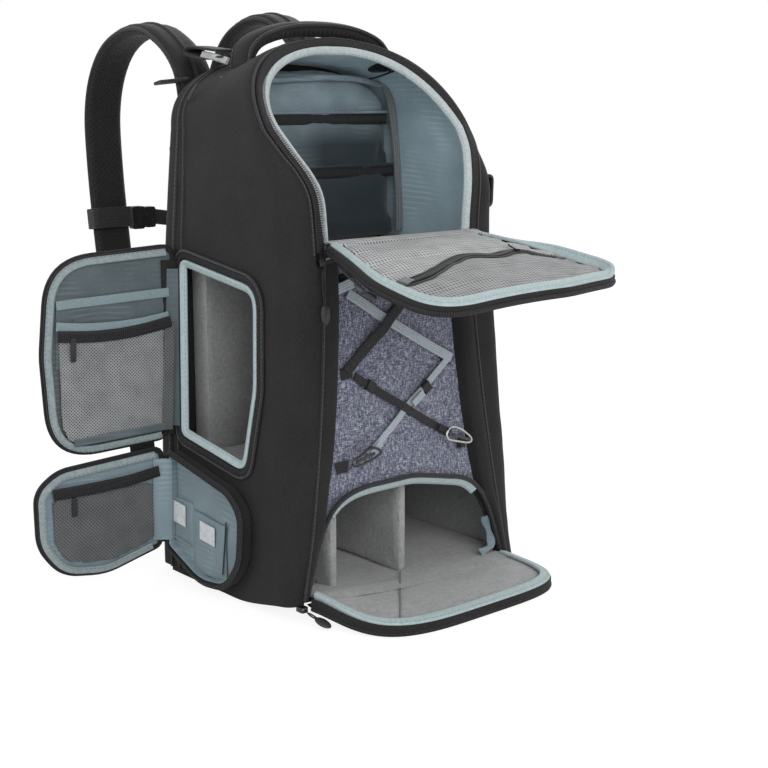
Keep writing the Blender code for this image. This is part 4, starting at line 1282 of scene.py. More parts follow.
def mouth_top(x):
    """Height of the mouth's arch over a place across the front."""
    low, high = 0.0, 0.096
    if abs(x) >= mouth_half(low):
        return low
    for _ in range(30):
        mid = (low + high) / 2
        low, high = (mid, high) if mouth_half(mid) > abs(x) else (low, mid)
    return low


print("arch is", round(mouth_top(0.0), 3), "m high")

# %% Heather panel
bm = bmesh.new()
bmesh.ops.create_grid(bm, x_segments=70, y_segments=80, size=0.5)
for v in bm.verts:
    x = v.co.x * 0.212
    low = mouth_top(x) + 0.004
    z = low + (MOUTH_FOOT - low) * (v.co.y + 0.5)
    bow = 0.0016 * math.cos(math.pi * x / 0.20) + noise.noise(Vector((x * 30, z * 30, 4))) * 0.0005
    v.co = (x, front_y(z) + 0.0085 - bow, z)
bmesh.ops.solidify(bm, geom=bm.faces[:], thickness=0.003)
bmesh.ops.recalc_face_normals(bm, faces=bm.faces[:])
cloth = show("heather_panel", bm, heather, "bag", ("front_panel",))
print("heather panel", len(cloth.data.polygons), "faces")


# %% Padded bands on both sides
def band_point(side, share, z):
    """share runs from the outer seam to the rolled inner edge."""
    inner = max(heather_half(z), mouth_half(z) + 0.003) - 0.0015
    outer_x = seam_half(z) + 0.0015
    x = outer_x + (inner - outer_x) * share
    roll = 0.0095 * smoothstep(0.70, 1.0, share)
    puff = 0.0030 * math.sin(math.pi * min(1.0, share * 1.25))
    puff += noise.noise(Vector((side, z * 24, share * 2))) * 0.0006
    return Vector((side * x, front_y(z) + roll - puff, z))


bm = bmesh.new()
for side in (-1, 1):
    made = bmesh.ops.create_grid(bm, x_segments=16, y_segments=90, size=0.5)["verts"]
    for v in made:
        v.co = band_point(side, v.co.x + 0.5, 0.007 + 0.305 * (v.co.y + 0.5))
bmesh.ops.solidify(bm, geom=bm.faces[:], thickness=0.004)
bmesh.ops.recalc_face_normals(bm, faces=bm.faces[:])
bands = show("front_bands", bm, black_cloth, "bag", ("front_band",))
print("bands", len(bands.data.polygons), "faces")

# %% [markdown]
# ### Seams of the front
# Each band ends in a piped seam, and the lower mouth is piped and bound along its arch. Bevelled
# edges would only hint at them; swept cords catch the light as sewn ones do.

# %% Seams, arch piping and arch binding
heights = [0.006 + 0.312 * k / 80 for k in range(81)]
for side, word in ((-1, "left"), (1, "right")):
    seam = [Vector((side * (seam_half(z) + 0.001), front_y(z) - 0.0008, z)) for z in heights]
    strip("front_seam_" + word, seam, (0, -1, 0), ring(0.0014), black_binding)
arch_heights = [0.010 + 0.0858 * math.sin(math.pi / 2 * k / 40) for k in range(40)]
arch = [Vector((-mouth_half(z), front_y(z), z)) for z in arch_heights]
arch += [Vector((-p.x, p.y, p.z)) for p in reversed(arch)]
arch = even_path(arch, 0.003)
ways = []
for k, p in enumerate(arch):
    along = heading(arch, k)
    ways.append(along.cross(Vector((0, -1, 0))).normalized())
if ways[len(ways) // 2].z < 0:
    ways = [-w for w in ways]
piping = [p + w * 0.0028 + Vector((0, 0.0015, 0)) for p, w in zip(arch, ways)]
strip("mouth_piping", piping, (0, -1, 0), ring(0.0024), black_binding)
top = [(p, w) for p, w in zip(arch, ways) if p.z > 0.0765]
tape_line = [p - w * 0.0022 + Vector((0, 0.0042, 0)) for p, w in top]
strip("mouth_binding", tape_line, [Vector((0, -1, 0)) - w * 0.5 for p, w in top], tape(0.0085, 0.0028),
      aqua_binding)
print("front panel, bands and arch made")

# %% [markdown]
# ## The camera door on the left side
# The door is a padded leaf: black outside, pale lining inside with two slip pockets, a black zip and a net
# pocket. Its edge is bound in pale tape, and one half of the zip runs round the rim. Lining and edge tape are
# drawn in darker copies, as painted shade for the door standing in shade.
# Each layer stands a little further off the leaf, as layers of cloth do.


# %% Thin sheets on a leaf
def edge_ways(line, closed=False):
    """For each point of a flat line, the way square to it."""
    ways = []
    for k in range(len(line)):
        way = heading(line, k, closed)
        ways.append(Vector((way.y, -way.x, 0)))
    return ways


def patch(name, spot, across, along, place, finish, body, thick=0.0012, stands_for=()):
    """A thin sheet on a leaf: place(s, t) gives its u, v and w."""
    made = bmesh.new()
    bmesh.ops.create_grid(made, x_segments=across, y_segments=along, size=0.5)
    lay = made.loops.layers.uv.new("lay")
    spots = {v: place(v.co.x + 0.5, v.co.y + 0.5) for v in made.verts}
    for face in made.faces:
        for loop in face.loops:
            loop[lay].uv = spots[loop.vert][:2]
    for v, (a, b, c) in spots.items():
        v.co = at(spot, a, b, c)
    width, length, area = cut_size(made, across, along)
    bmesh.ops.solidify(made, geom=made.faces[:], thickness=thick)
    bmesh.ops.recalc_face_normals(made, faces=made.faces[:])
    item = show(name, made, finish, body, stands_for)
    return item


def two_sided(mesh, way, share=0.2):
    """Face slots: 0 for the outside, 1 for the faces that look along way."""
    for face in mesh.polygons:
        face.material_index = 1 if face.normal.dot(way) > share else 0
    return mesh


print("sheets ready")


# %% Trim round a leaf
def leaf_trim(name, spot, line, body, low, high, inner):
    """Zip half, gusset and binding round a leaf; inner is -1 or 1, the side of its lining."""
    flat = even_path([Vector((u, v, 0)) for u, v in line], 0.003, True)
    ways = edge_ways(flat, True)
    middle = sum(flat, Vector()) / len(flat)
    if sum(w.dot(p - middle) for w, p in zip(ways, flat)) < 0:
        ways = [-w for w in ways]
    out = [spot[1] * w.x + spot[2] * w.y for w in ways]

    def ring_line(by, w):
        return [at(spot, p.x + o.x * by, p.y + o.y * by, w) for p, o in zip(flat, ways)]

    face = spot[3] * inner
    back = high if inner < 0 else low
    front = low if inner < 0 else high
    strip(name + "_rim", ring_line(-0.0012, (low + high) / 2), out, tape(abs(high - low) * 0.92, 0.0036),
          black_cloth, body, closed=True)
    strip(name + "_zip", ring_line(0.0004, back + inner * 0.0012), [o - face * 0.5 for o in out],
          tape(0.0068, 0.0030), black_zip, body, closed=True)
    free = [k for k in range(len(flat)) if flat[k].x > 0.009]
    first = next(k for k in free if flat[k - 1].x <= 0.009)
    order = [(first + j) % len(flat) for j in range(len(free))]
    # The leaf's edge binding takes the darker copy of the pale tape: painted shade.
    edge_line = ring_line(-0.0042, front + inner * 0.0006)
    strip(name + "_binding", [edge_line[k] for k in order], [face + out[k] * 0.35 for k in order],
          tape(0.0068, 0.0030, 0.0012), binding_painted_shade, body)


print("leaf trim ready")

# %% The door leaf
DOOR = plane((-0.14864, 0.073, 0), (-0.9549, 0.29258, 0.05054), (0.05278, -0.00026, 0.99861))
bends["side_door"] = at(DOOR, -0.8, 0.2), at(DOOR, 0.2, 0.2)
DOOR_EDGE = [(-0.041, 0.1195), (0.0665, 0.1365), (0.070, 0.3165), (-0.0455, 0.302), (-0.0500, 0.215)]
door_line = [tuple(p) for p in rounded([(0.073 - y, z) for y, z in DOOR_EDGE],
                                       [0.042, 0.010, 0.010, 0.048, 0.120], 10)]

door_start = slab(DOOR, inset(door_line, 0.0012), 0.0012, 0.0080)
door_mesh = puffed(door_start, 0.0035, 4.0, 0.0035, sewn_edge(DOOR, door_line, LEAF_SEAM))
two_sided(door_mesh, -DOOR[3])
# The door's lining side takes the darker lining copy: painted shade.
door = show_mesh("door_leaf", door_mesh, [black_cloth, door_lining_painted_shade], "side_door", ("side_door",))
leaf_trim("door", DOOR, door_line, "side_door", 0.0, 0.009, -1)
print("door leaf", len(door_mesh.polygons), "faces")

# %% [markdown]
# ### Pockets on the door
# Two loose slips hang one before the other over a zipped net pocket. Slips are thin sheets with a
# sagging mouth and a hem; the net is padded, because it stands off the door.


# %% Slip pockets
def door_top(u, left, middle, right):
    """Height of a pocket's mouth across the door: it hangs between its ends."""
    t = min(1.0, max(0.0, u / 0.117))
    return right * (1 - t) ** 2 + 2 * (2 * middle - (left + right) / 2) * t * (1 - t) + left * t * t


for name, ends, off, waves in (("door_slip_back", (0.2660, 0.2735, 0.2805), -0.0010, 0.0009),
                               ("door_slip_front", (0.2470, 0.2470, 0.2585), -0.0030, 0.0013)):
    def slip(s, t, ends=ends, off=off, waves=waves):
        u = 0.008 + 0.1035 * s
        top = door_top(u, *ends)
        v = 0.205 + (top - 0.205) * t
        ease = math.sin(math.pi * s) ** 0.5
        sag = off * t * ease - 0.0008 + noise.noise(Vector((u * 75, v * 55, off * 900))) * waves * ease
        return u, v, sag

    patch(name, DOOR, 44, 22, slip, door_lining_painted_shade, "side_door", 0.0010)
    hem = [at(DOOR, *slip(k / 40, 0.93)) - DOOR[3] * 0.0012 for k in range(41)]
    strip(name + "_hem", hem, -DOOR[3], tape(0.0085, 0.0018), blue_hem, "side_door")
print("slip pockets made")

# %% Zip and net pocket
zip_line = smooth_path([at(DOOR, 0.1105, 0.2350, -0.0056), at(DOOR, 0.075, 0.2350, -0.0066),
                        at(DOOR, 0.040, 0.2395, -0.0066), at(DOOR, 0.006, 0.2475, -0.0040)])
strip("door_pocket_zip", zip_line, -DOOR[3], tape(0.0105, 0.0024), black_zip, "side_door")
NET_LINE = [tuple(p) for p in rounded([(0.0105, 0.1470), (0.100, 0.1335), (0.1085, 0.158), (0.1105, 0.2310),
                                       (0.0105, 0.2430)], [0.006, 0.022, 0.02, 0.004, 0.004], 6)]

door_net_start = slab(DOOR, NET_LINE, -0.0050, -0.0004)
door_net_mesh = puffed(door_net_start, 0.0035, 4.0, 0.0045, sewn_edge(DOOR, NET_LINE, NET_SEAM))
for v in door_net_mesh.vertices:
    u, h, w = local(DOOR, v.co)
    if w < -0.002:
        v.co += DOOR[3] * noise.noise(Vector((u * 34, h * 34, 9))) * 0.0010
lay_on(door_net_mesh, *DOOR[:3])
door_net = show_mesh("door_net_pocket", door_net_mesh, door_net_grey, "side_door", ("side_door_pocket",))
# The net's side strip by the hinge takes the dark slate net: painted shade where the net runs towards the
# hinge.
fall = even_path([at(DOOR, 0.0075, 0.1455, -0.0036), at(DOOR, 0.0070, 0.2460, -0.0036)], 0.004)
strip("door_net_side", fall, -DOOR[3], tape(0.0105, 0.0026), slate_net, "side_door")
foot = even_path([at(DOOR, 0.0100, 0.1490, -0.0046), at(DOOR, 0.0950, 0.1365, -0.0046)], 0.004)
strip("door_net_foot", foot, -DOOR[3], tape(0.0075, 0.0022), door_lining_painted_shade, "side_door")
hinge_cloth("door_hinge", [on_left(0.0745, z, 0.0) for z in (0.142, 0.304)],
            [at(DOOR, 0.0085, v, 0.0050) for v in (0.142, 0.304)],
            [Vector((-0.1475, 0.0755, z)) for z in (0.142, 0.304)], black_cloth, 0.0025)
hinge_cloth("door_hinge_lining", [on_left(0.0636, 0.150, 0.0036), on_left(0.0706, 0.296, 0.0036)],
            [at(DOOR, 0.0100, v, -0.0014) for v in (0.150, 0.296)],
            [at(DOOR, 0.0020, v, -0.0020) for v in (0.150, 0.296)], door_lining_painted_shade, 0.0012)
print("door leaf and pockets made")

# %% [markdown]
# ### The door's mouth
# The cut in the wall needs tape of its own: a pale binding inside it, the other half of the zip and
# a piped lip. They follow the outline of the cut, moved along the wall.

# %% Binding and zip round the door's mouth in the wall
mouth = even_path([on_left(y, z, 0.0012) for y, z in DOOR_MOUTH], 0.003, True)
flat = [Vector((p.y, p.z, 0)) for p in mouth]
ways = edge_ways(flat, True)
middle = sum(flat, Vector()) / len(flat)
if sum(w.dot(p - middle) for w, p in zip(ways, flat)) < 0:
    ways = [-w for w in ways]
wall_ways = [Vector((0, w.x, w.y)) for w in ways]
strip("wall_door_binding", [p - w * 0.0030 + Vector((0.0006, 0, 0)) for p, w in zip(mouth, wall_ways)],
      [Vector((-1, 0, 0)) - w * 0.45 for w in wall_ways], tape(0.0080, 0.0034), aqua_binding, closed=True)
strip("wall_door_zip", [p + w * 0.0046 - Vector((0.0006, 0, 0)) for p, w in zip(mouth, wall_ways)],
      Vector((-1, 0, 0)), tape(0.0062, 0.0030), black_zip, closed=True)
strip("wall_door_lip", [p + w * 0.0090 - Vector((0.0010, 0, 0)) for p, w in zip(mouth, wall_ways)],
      Vector((-1, 0, 0)), ring(0.0014), black_binding, closed=True)
print("door mouth", len(mouth), "points round")

# %% [markdown]
# ## The card pocket and its cover
# Below the camera door a shallow tray is sewn to the side. Its lining carries two card slots
# with pale windows and a slip slit, and a padded cover with a dark net pocket shuts it.

# %% The cover
CARD = plane((-0.15669, 0.0745, 0.00045), (-0.97762, 0.20791, 0.03226), (0.03298, 0.0, 0.99946))
bends["card_door"] = at(CARD, -0.8, 0.07), at(CARD, 0.2, 0.07)
CARD_EDGE = [(-0.024, 0.016), (0.018, 0.013), (0.072, 0.033), (0.073, 0.127), (-0.026, 0.113),
             (-0.047, 0.096), (-0.045, 0.044)]
card_line = [tuple(p) for p in rounded([(0.0745 - y, z) for y, z in reversed(CARD_EDGE)],
                                       [0.040, 0.040, 0.036, 0.008, 0.008, 0.060, 0.036], 8)]

card_start = slab(CARD, inset(card_line, 0.0012), 0.0002, 0.0054)
card_mesh = puffed(card_start, 0.0032, 4.0, 0.0035, sewn_edge(CARD, card_line, LEAF_SEAM))
two_sided(card_mesh, -CARD[3])
cover = show_mesh("card_cover", card_mesh, [black_cloth, blue_lining], "card_door", ("card_door",))
leaf_trim("card", CARD, card_line, "card_door", -0.0008, 0.0062, -1)
print("card cover", len(card_mesh.polygons), "faces")

# %% Zip and dark net on the cover
CARD_NET = [tuple(p) for p in rounded([(0.0100, 0.0400), (0.055, 0.0235), (0.095, 0.0270), (0.1090, 0.050),
                                       (0.1080, 0.0890), (0.0100, 0.0985)],
                                       [0.006, 0.02, 0.02, 0.02, 0.004, 0.004], 6)]

card_net_start = slab(CARD, CARD_NET, -0.0042, -0.0008)
card_net_mesh = puffed(card_net_start, 0.0032, 3.0, 0.0030, sewn_edge(CARD, CARD_NET, NET_SEAM))
lay_on(card_net_mesh, *CARD[:3])
card_net = show_mesh("card_net_pocket", card_net_mesh, slate_net, "card_door", ("card_door_pocket",))
card_zip = smooth_path([at(CARD, 0.1070, 0.0935, -0.0038), at(CARD, 0.070, 0.0970, -0.0056),
                        at(CARD, 0.035, 0.1010, -0.0056), at(CARD, 0.006, 0.1065, -0.0036)])
strip("card_cover_zip", card_zip, -CARD[3], tape(0.0105, 0.0024), black_zip, "card_door")
print("card net", len(card_net_mesh.polygons), "faces")

# %% [markdown]
# ### The tray and its slots
# The tray is a low wall of tape round a flat floor. The card slots are one sheet sewn down in the
# middle, with two clear windows and a slit lying just above it.

# %% The tray
TRAY = plane((-0.1432, 0, 0), (0, 1, 0), (0.033, 0, 1))
CARD_CORNERS = [(-0.023, 0.013), (0.019, 0.009), (0.073, 0.031), (0.073, 0.126), (-0.027, 0.105),
                (-0.047, 0.088), (-0.045, 0.042)]
tray_line = [tuple(p) for p in rounded(CARD_CORNERS, [0.036, 0.060, 0.008, 0.008, 0.036, 0.040, 0.040], 8)]
tray_flat = even_path([Vector((u, v, 0)) for u, v in tray_line], 0.003, True)
tray_ways = edge_ways(tray_flat, True)
tray_out = [TRAY[1] * w.x + TRAY[2] * w.y for w in tray_ways]


def round_tray(by, w):
    return [at(TRAY, p.x + o.x * by, p.y + o.y * by, w) for p, o in zip(tray_flat, tray_ways)]


strip("tray_wall", round_tray(-0.0020, -0.0048), tray_out, tape(0.0120, 0.0040), black_cloth, "bag",
      ("card_tray",), closed=True)
strip("tray_zip", round_tray(-0.0008, -0.0112), [o * 0.6 - TRAY[3] for o in tray_out], tape(0.0066, 0.0030),
      black_zip, closed=True)
strip("tray_lining_wall", round_tray(-0.0046, -0.0068), [-o for o in tray_out], tape(0.0092, 0.0016),
      blue_lining, closed=True)
tray_floor = puffed(slab(TRAY, inset(tray_line, 0.0035), -0.0034, -0.0004), 0.003, 0, 0)
for v in tray_floor.vertices:
    u, h, w = local(TRAY, v.co)
    v.co -= TRAY[3] * (0.0008 + noise.noise(Vector((u * 40, h * 40, 3))) * 0.0008)
show_mesh("tray_floor", tray_floor, blue_lining, "bag")
print("tray floor", len(tray_floor.polygons), "faces")


# %% Card slots, windows and slit
def slot_top(u):
    return 0.0805 - 0.0045 * smoothstep(0.037, -0.017, u) - (0.006 * smoothstep(0.0385, 0.0370, u))


def slot_sheet(s, t):
    u = -0.0165 + 0.0835 * s
    low = max(0.0175, 0.012 + 0.41 * max(0.0, u - 0.014))
    v = low + (slot_top(u) - low) * t
    lift = -0.0050 - 0.0010 * t + noise.noise(Vector((u * 50, v * 40, 1))) * 0.0007
    return u, v, lift + 0.0012 * math.exp(-((u - 0.0375) / 0.0018) ** 2)


patch("card_slot_sheet", TRAY, 60, 30, slot_sheet, blue_lining, "bag", 0.0010, ("card_slots",))
for k, (low_u, high_u, low_v, high_v) in enumerate(((0.0475, 0.0675, 0.0575, 0.0775),
                                                    (0.0000, 0.0240, 0.0500, 0.0672))):
    def pane(s, t, a=low_u, b=high_u, c=low_v, d=high_v):
        u, v = a + (b - a) * s, c + (d - c) * t - 0.10 * (b - a) * (1 - s)
        return u, v, -0.0070
    patch(f"card_window_{k}", TRAY, 8, 8, pane, clear_window, "bag", 0.0005)
for name, line in (("card_slit", [(-0.0172, 0.0745), (-0.0150, 0.050), (-0.0125, 0.0240)]),
                   ("card_fold", [(0.0665, 0.0420), (0.050, 0.0400), (0.0390, 0.0385)])):
    run = smooth_path([at(TRAY, u, v, -0.0066) for u, v in line], 0.003)
    strip(name, run, -TRAY[3], tape(0.0016, 0.0010), black_binding if name == "card_slit" else blue_hem)
hinge_cloth("card_hinge", [at(TRAY, 0.0735, v, -0.0085) for v in (0.038, 0.120)],
            [at(CARD, 0.0085, v, 0.0030) for v in (0.038, 0.120)],
            [Vector((-0.1560, 0.0760, z)) for z in (0.038, 0.120)], black_cloth, 0.0020)
hinge_cloth("card_hinge_lining", [at(TRAY, 0.0668, v, -0.0095) for v in (0.040, 0.118)],
            [at(CARD, 0.0110, v, -0.0014) for v in (0.040, 0.118)],
            [at(CARD, 0.0005, v, -0.0042) for v in (0.040, 0.118)], blue_lining, 0.0010)
print("card pocket made")

# %% [markdown]
# ## The lower flap and the low room
# The lower flap lies open on the floor. Its upper side is grey felt with a sewn crease, bound in
# pale tape; the black gusset below carries the zip. Felt also lines the low room behind it.

# %% Outline and lift of the lower flap
LOW = plane((0, -0.1057, 0.0121), (-1, 0, 0), (0, -1, 0))
bends["low_flap"] = at(LOW, 0, -0.20), at(LOW, 0, 0.12)


def low_half(bend):
    """One half of the flap's outline, from the hinge to the middle of the front; a higher bend is rounder."""
    half = []
    for k in range(25):
        turn = math.pi / 2 * k / 24
        rise = math.sin(turn) ** bend
        half.append(Vector(((0.1235 - 0.010 * rise) * max(0.0, math.cos(turn)) ** bend,
                            0.0045 + 0.0905 * rise, 0)))
    return half


low_line = low_half(0.56) + [Vector((-p.x, p.y, 0)) for p in reversed(low_half(0.42)[:-1])]
low_open = even_path(low_line, 0.003)
low_outline = [(p.x, p.y) for p in low_open]


def lift(item):
    """Raises the flap's left end at its hinge, where the gusset pulls it up."""
    for vert in item.data.vertices:
        u, v, w = local(LOW, vert.co)
        share = smoothstep(0.0, 0.125, u) * (1 - smoothstep(0.0, 0.088, v))
        share *= smoothstep(-0.011, 0.002, v)
        share *= min(1.1, max(0.75, (w + 0.0117) / 0.0114))
        vert.co += LOW[3] * 0.0125 * share
    return item


print("outline of", len(low_open), "points")

# %% Felt pad with a crease
CREASE_U, CREASE_V, CREASE_WAY = 0.0187, 0.004, (0.671, 0.741)


def on_crease(d, w):
    """A point on the crease that is sewn across the flap, some way along it and off the felt."""
    return at(LOW, CREASE_U + CREASE_WAY[0] * d, CREASE_V + CREASE_WAY[1] * d, w)


low_start = slab(LOW, inset(low_outline, 0.0015), -0.0100, -0.0022)
low_mesh = puffed(low_start, 0.004, 4.0, 0.0030, sewn_edge(LOW, low_outline, LEAF_SEAM))
for v in low_mesh.vertices:
    u, h, w = local(LOW, v.co)
    if w > -0.004:
        crease = abs((u - CREASE_U) * CREASE_WAY[1] - (h - CREASE_V) * CREASE_WAY[0])
        v.co += LOW[3] * (noise.noise(Vector((u * 20, h * 20, 6))) * 0.0009
                          - 0.0012 * math.exp(-(crease / 0.0025) ** 2))
    v.co.z = max(v.co.z, 0.0008)
two_sided(low_mesh, LOW[3])
low_pad = lift(show_mesh("low_flap_pad", low_mesh, [black_cloth, grey_felt], "low_flap", ("low_flap",)))
print("lower flap", len(low_mesh.polygons), "faces")

# %% Gusset, zip and binding of the flap
low_ways = edge_ways(low_open)
if low_ways[0].x < 0:
    low_ways = [-w for w in low_ways]
low_out = [LOW[1] * w.x + LOW[2] * w.y for w in low_ways]


def round_low(by, w):
    return [at(LOW, p.x + o.x * by, p.y + o.y * by, w) for p, o in zip(low_open, low_ways)]


lift(strip("low_gusset", round_low(-0.0012, -0.0058), low_out, tape(0.0085, 0.0040), black_cloth,
           "low_flap"))
lift(strip("low_zip", round_low(-0.0004, -0.0094), [o - LOW[3] * 0.2 for o in low_out],
           tape(0.0040, 0.0036), black_zip, "low_flap"))
lift(strip("low_binding", round_low(-0.0052, -0.0005), [LOW[3] + o * 0.30 for o in low_out],
           tape(0.0102, 0.0032, 0.0014), aqua_binding, "low_flap",
           wide=lambda f: 0.42 + 0.58 * smoothstep(0.0, 0.36, f)))
crease = [on_crease(d, -0.0018) for d in (0.004, 0.03, 0.06, 0.09, 0.101)]
lift(strip("low_crease", even_path(crease, 0.004), LOW[3], tape(0.0012, 0.0012), grey_webbing, "low_flap"))
print("four strips sewn on the flap")

# %% [markdown]
# ### The low room
# Dividers and shelves are felt over board: the frame's own solids, remeshed so that their edges go
# soft. Floor and hinge are sheets, and a strip of lining bunches in the right corner.

# %% Felt dividers, shelves and floor
for node, voxel in (("low_divider_left", 0.0030), ("low_divider_middle", 0.0030), ("top_shelf", 0.0032),
                    ("camera_shelf", 0.0032), ("inner_back_pad", 0.005)):
    felt_mesh = puffed(node_mesh(node), voxel, 1.5 if "divider" in node else 0, 0.0015, None, 3)
    item = show_mesh("felt_" + node, felt_mesh, grey_felt, "bag", (node,))


def low_floor(s, t):
    x = -0.1345 + 0.269 * s
    y = -0.0985 + 0.157 * t
    return x, y, 0.0090 + noise.noise(Vector((x * 25, y * 25, 2))) * 0.0004


patch("low_room_floor", plane((0, 0, 0), (1, 0, 0), (0, 1, 0)), 30, 20, low_floor, grey_felt, "bag", 0.0008)
low_hinge = hinge_cloth("low_hinge_felt", across(-0.0950, 0.0094, 0.1175),
                        [at(LOW, 0.1180, 0.0140, -0.0012), at(LOW, -0.1165, 0.0140, -0.0012)],
                        across(-0.1050, 0.0112, 0.1180), grey_felt, 0.0012)
lift(low_hinge)
low_back = hinge_cloth("low_hinge_back", across(-0.0995, 0.0022, 0.1200),
                       [at(LOW, 0.1190, 0.0090, -0.0085), at(LOW, -0.1190, 0.0090, -0.0085)],
                       across(-0.1065, 0.0030, 0.1200), black_cloth, 0.0012)
lift(low_back)
FLOOR_SEAM = ((-0.036, -0.0014), (-0.022, -0.0008), (-0.006, 0.0002), (0.004, 0.0002))
floor_seam = [on_crease(d, w) for d, w in FLOOR_SEAM]
strip("floor_seam", even_path(floor_seam, 0.003), LOW[3], tape(0.0010, 0.0010), grey_webbing)
bunch = smooth_path([(0.1065, -0.0940, 0.0470), (0.1110, -0.0950, 0.0340), (0.1130, -0.0970, 0.0235),
                     (0.1105, -0.0990, 0.0165), (0.0970, -0.0985, 0.0130)], 0.003)
strip("low_side_lining", bunch, (-0.6, -0.6, 0.5), tape(0.0080, 0.0020), blue_lining, "bag",
      wide=lambda f: 0.9 + 0.2 * math.sin(14 * f))
print("lower flap and low room made")

# %% [markdown]
# ## Lacing on the front
# Two grey and two black straps cross on the heather. Each is a thin tape that lies along the
# panel, rises where it passes over another, and ends in a loop of webbing or a wire hook.

# %% Straps
FRONT = plane((0, -0.105, 0), (1, 0, 0), (0, 0.058, 1))


def lace(name, start, end, width, level, humps, finish, ease=0.0):
    """A strap between two places; humps are (share, height) where it rises or dips."""
    points = []
    for k in range(41):
        t = k / 40
        u = start[0] + (end[0] - start[0]) * t
        v = start[1] + (end[1] - start[1]) * t - ease * math.sin(math.pi * t)
        w = level + sum(h * math.exp(-((t - c) / 0.10) ** 2) for c, h in humps)
        points.append(at(FRONT, u, v, w))
    strip(name + "_tape", points, FRONT[3], tape(width, 0.0017), finish, "bag", (name,))


lace("grey_lace_high", (-0.0600, 0.2830), (0.0620, 0.2110), 0.0092, -0.0030,
     ((0.32, -0.0022), (0.98, 0.0014)), pale_webbing, 0.0012)
lace("grey_lace_low", (0.0575, 0.2105), (-0.0440, 0.1350), 0.0070, -0.0022, ((0.49, -0.0022),),
     pale_webbing)
lace("black_lace_high", (0.0420, 0.2980), (-0.0645, 0.2135), 0.0105, -0.0036, ((0.60, 0.0026),),
     black_webbing)
lace("black_lace_low", (-0.0550, 0.2080), (0.0560, 0.1400), 0.0076, -0.0040, ((0.49, 0.0026),),
     black_webbing, 0.0008)
print("four lacing straps made")

# %% [markdown]
# ### Ends of the lacing
# A strap ends in a sewn loop, a doubled tail or a wire hook. The grey tail has gone through its
# slider, so it rides on the slider and moves with it.

# %% Loops and doubled ends
LOOPS = {"lace_loop_high_left": (-0.0620, 0.2950), "lace_loop_mid_left": (-0.0655, 0.2120),
         "lace_loop_mid_right": (0.0630, 0.2100),
         "lace_loop_low_left": (-0.0755, 0.1285), "lace_loop_low_right": (0.0784, 0.1275)}
for name, (u, v) in LOOPS.items():
    toward = -1 if u > 0 else 1
    line = smooth_path([at(FRONT, u - toward * 0.0035, v - 0.001, -0.0068),
                        at(FRONT, u + toward * 0.0020, v, -0.0046),
                        at(FRONT, u + toward * 0.0062, v + 0.0004, -0.0030),
                        at(FRONT, u + toward * 0.0068, v, -0.0052),
                        at(FRONT, u + toward * 0.0015, v - 0.0006, -0.0072)], 0.0015)
    strip(name + "_tape", line, FRONT[3], tape(0.0105, 0.0016), black_webbing, "bag", (name,))
for name, start, share, along in (("grey_tail", (0.0540, 0.2060), 0.34, (-0.0980, -0.0710)),
                                  ("grey_hook_end", (-0.0440, 0.1350), 0.0, (0.0980, 0.0710)),
                                  ("black_hook_end", (0.0560, 0.1400), 0.0, (-0.1110, 0.0680))):
    way = Vector((*along, 0)).normalized()
    base = Vector((*start, 0)) + way * share * 0.11
    run = [at(FRONT, *(base + way * d).to_2d(), 0.0008 + 0.0004 * math.sin(d * 300))
           for d in (0.001, 0.004, 0.008, 0.013, 0.0165)]
    strip(name, run, FRONT[3], tape(0.0068, 0.0015), black_webbing if "black" in name else pale_webbing,
          "grey_lace_slider" if name == "grey_tail" else "bag")
tab = even_path([at(FRONT, -0.0765, 0.2872, 0.0006), at(FRONT, -0.0570, 0.2922, 0.0012)], 0.003)
strip("grey_lace_tab", tab, FRONT[3], tape(0.0098, 0.0015), pale_webbing)
print("lacing made")

# %% [markdown]
# ### Wire hooks
# Each lower lace ends in a bent wire hook with a flat tongue across it. A bevelled curve would do,
# but a swept ring closes without a seam.

# %% Wire hooks
HOOKS = (("steel", "steel_lace_hook", [(0.0528, 0.1464), (0.0655, 0.1430), (0.0790, 0.1326),
                                       (0.0770, 0.1284), (0.0636, 0.1312), (0.0480, 0.1368)],
                                       (0.0506, 0.1412), (0.0775, 0.1306)),
         ("dark", "dark_lace_hook", [(-0.0345, 0.1369), (-0.0447, 0.1432), (-0.0571, 0.1384),
                                     (-0.0672, 0.1338), (-0.0655, 0.1296), (-0.0506, 0.1308)],
                                     (-0.0420, 0.1374), (-0.0640, 0.1325)))
for word, node, bend, near, far in HOOKS:
    metal = steel_wire if word == "steel" else dark_steel
    wire = smooth_path([(x, front_y(z) - 0.0042, z) for x, z in bend], 0.0012, True)
    strip(word + "_hook_wire", wire, (0, -1, 0), ring(0.0011), metal, "bag", (node,), closed=True)
    tongue = even_path([(x, front_y(z) - 0.0040, z) for x, z in (near, far)], 0.002)
    strip(word + "_hook_tongue", tongue, (0, -1, 0), tape(0.0030, 0.0016), dark_steel)
print("hooks made")

# %% [markdown]
# ## Straps, handle and back
# The shoulder straps are foam under smooth cloth, with open air mesh on the side that touches
# the wearer. A sweep gives the run, the cloth step rounds it, and faces that look to the inside
# of the loop take the mesh. The handle is made the same way.

# %% Run of the straps
STRAP_X = {"left": -0.080, "right": 0.068}
STRAP_RUN = [(0.1113, 0.446), (0.1190, 0.474), (0.140, 0.497), (0.174, 0.5135), (0.211, 0.5135),
             (0.247, 0.499), (0.272, 0.471), (0.284, 0.434), (0.2835, 0.388), (0.2775, 0.330),
             (0.269, 0.275), (0.258, 0.225), (0.2465, 0.185)]


def strap_line(side):
    points = []
    for y, z in STRAP_RUN:
        share = min(max((z - 0.44) / 0.07, 0.0), 1.0) * min(max((y - 0.112) / 0.03, 0.0), 1.0)
        points.append(Vector((STRAP_X[side], y, z + (0.014 * share if side == "right" else 0.0))))
    return smooth_path(points, 0.005)


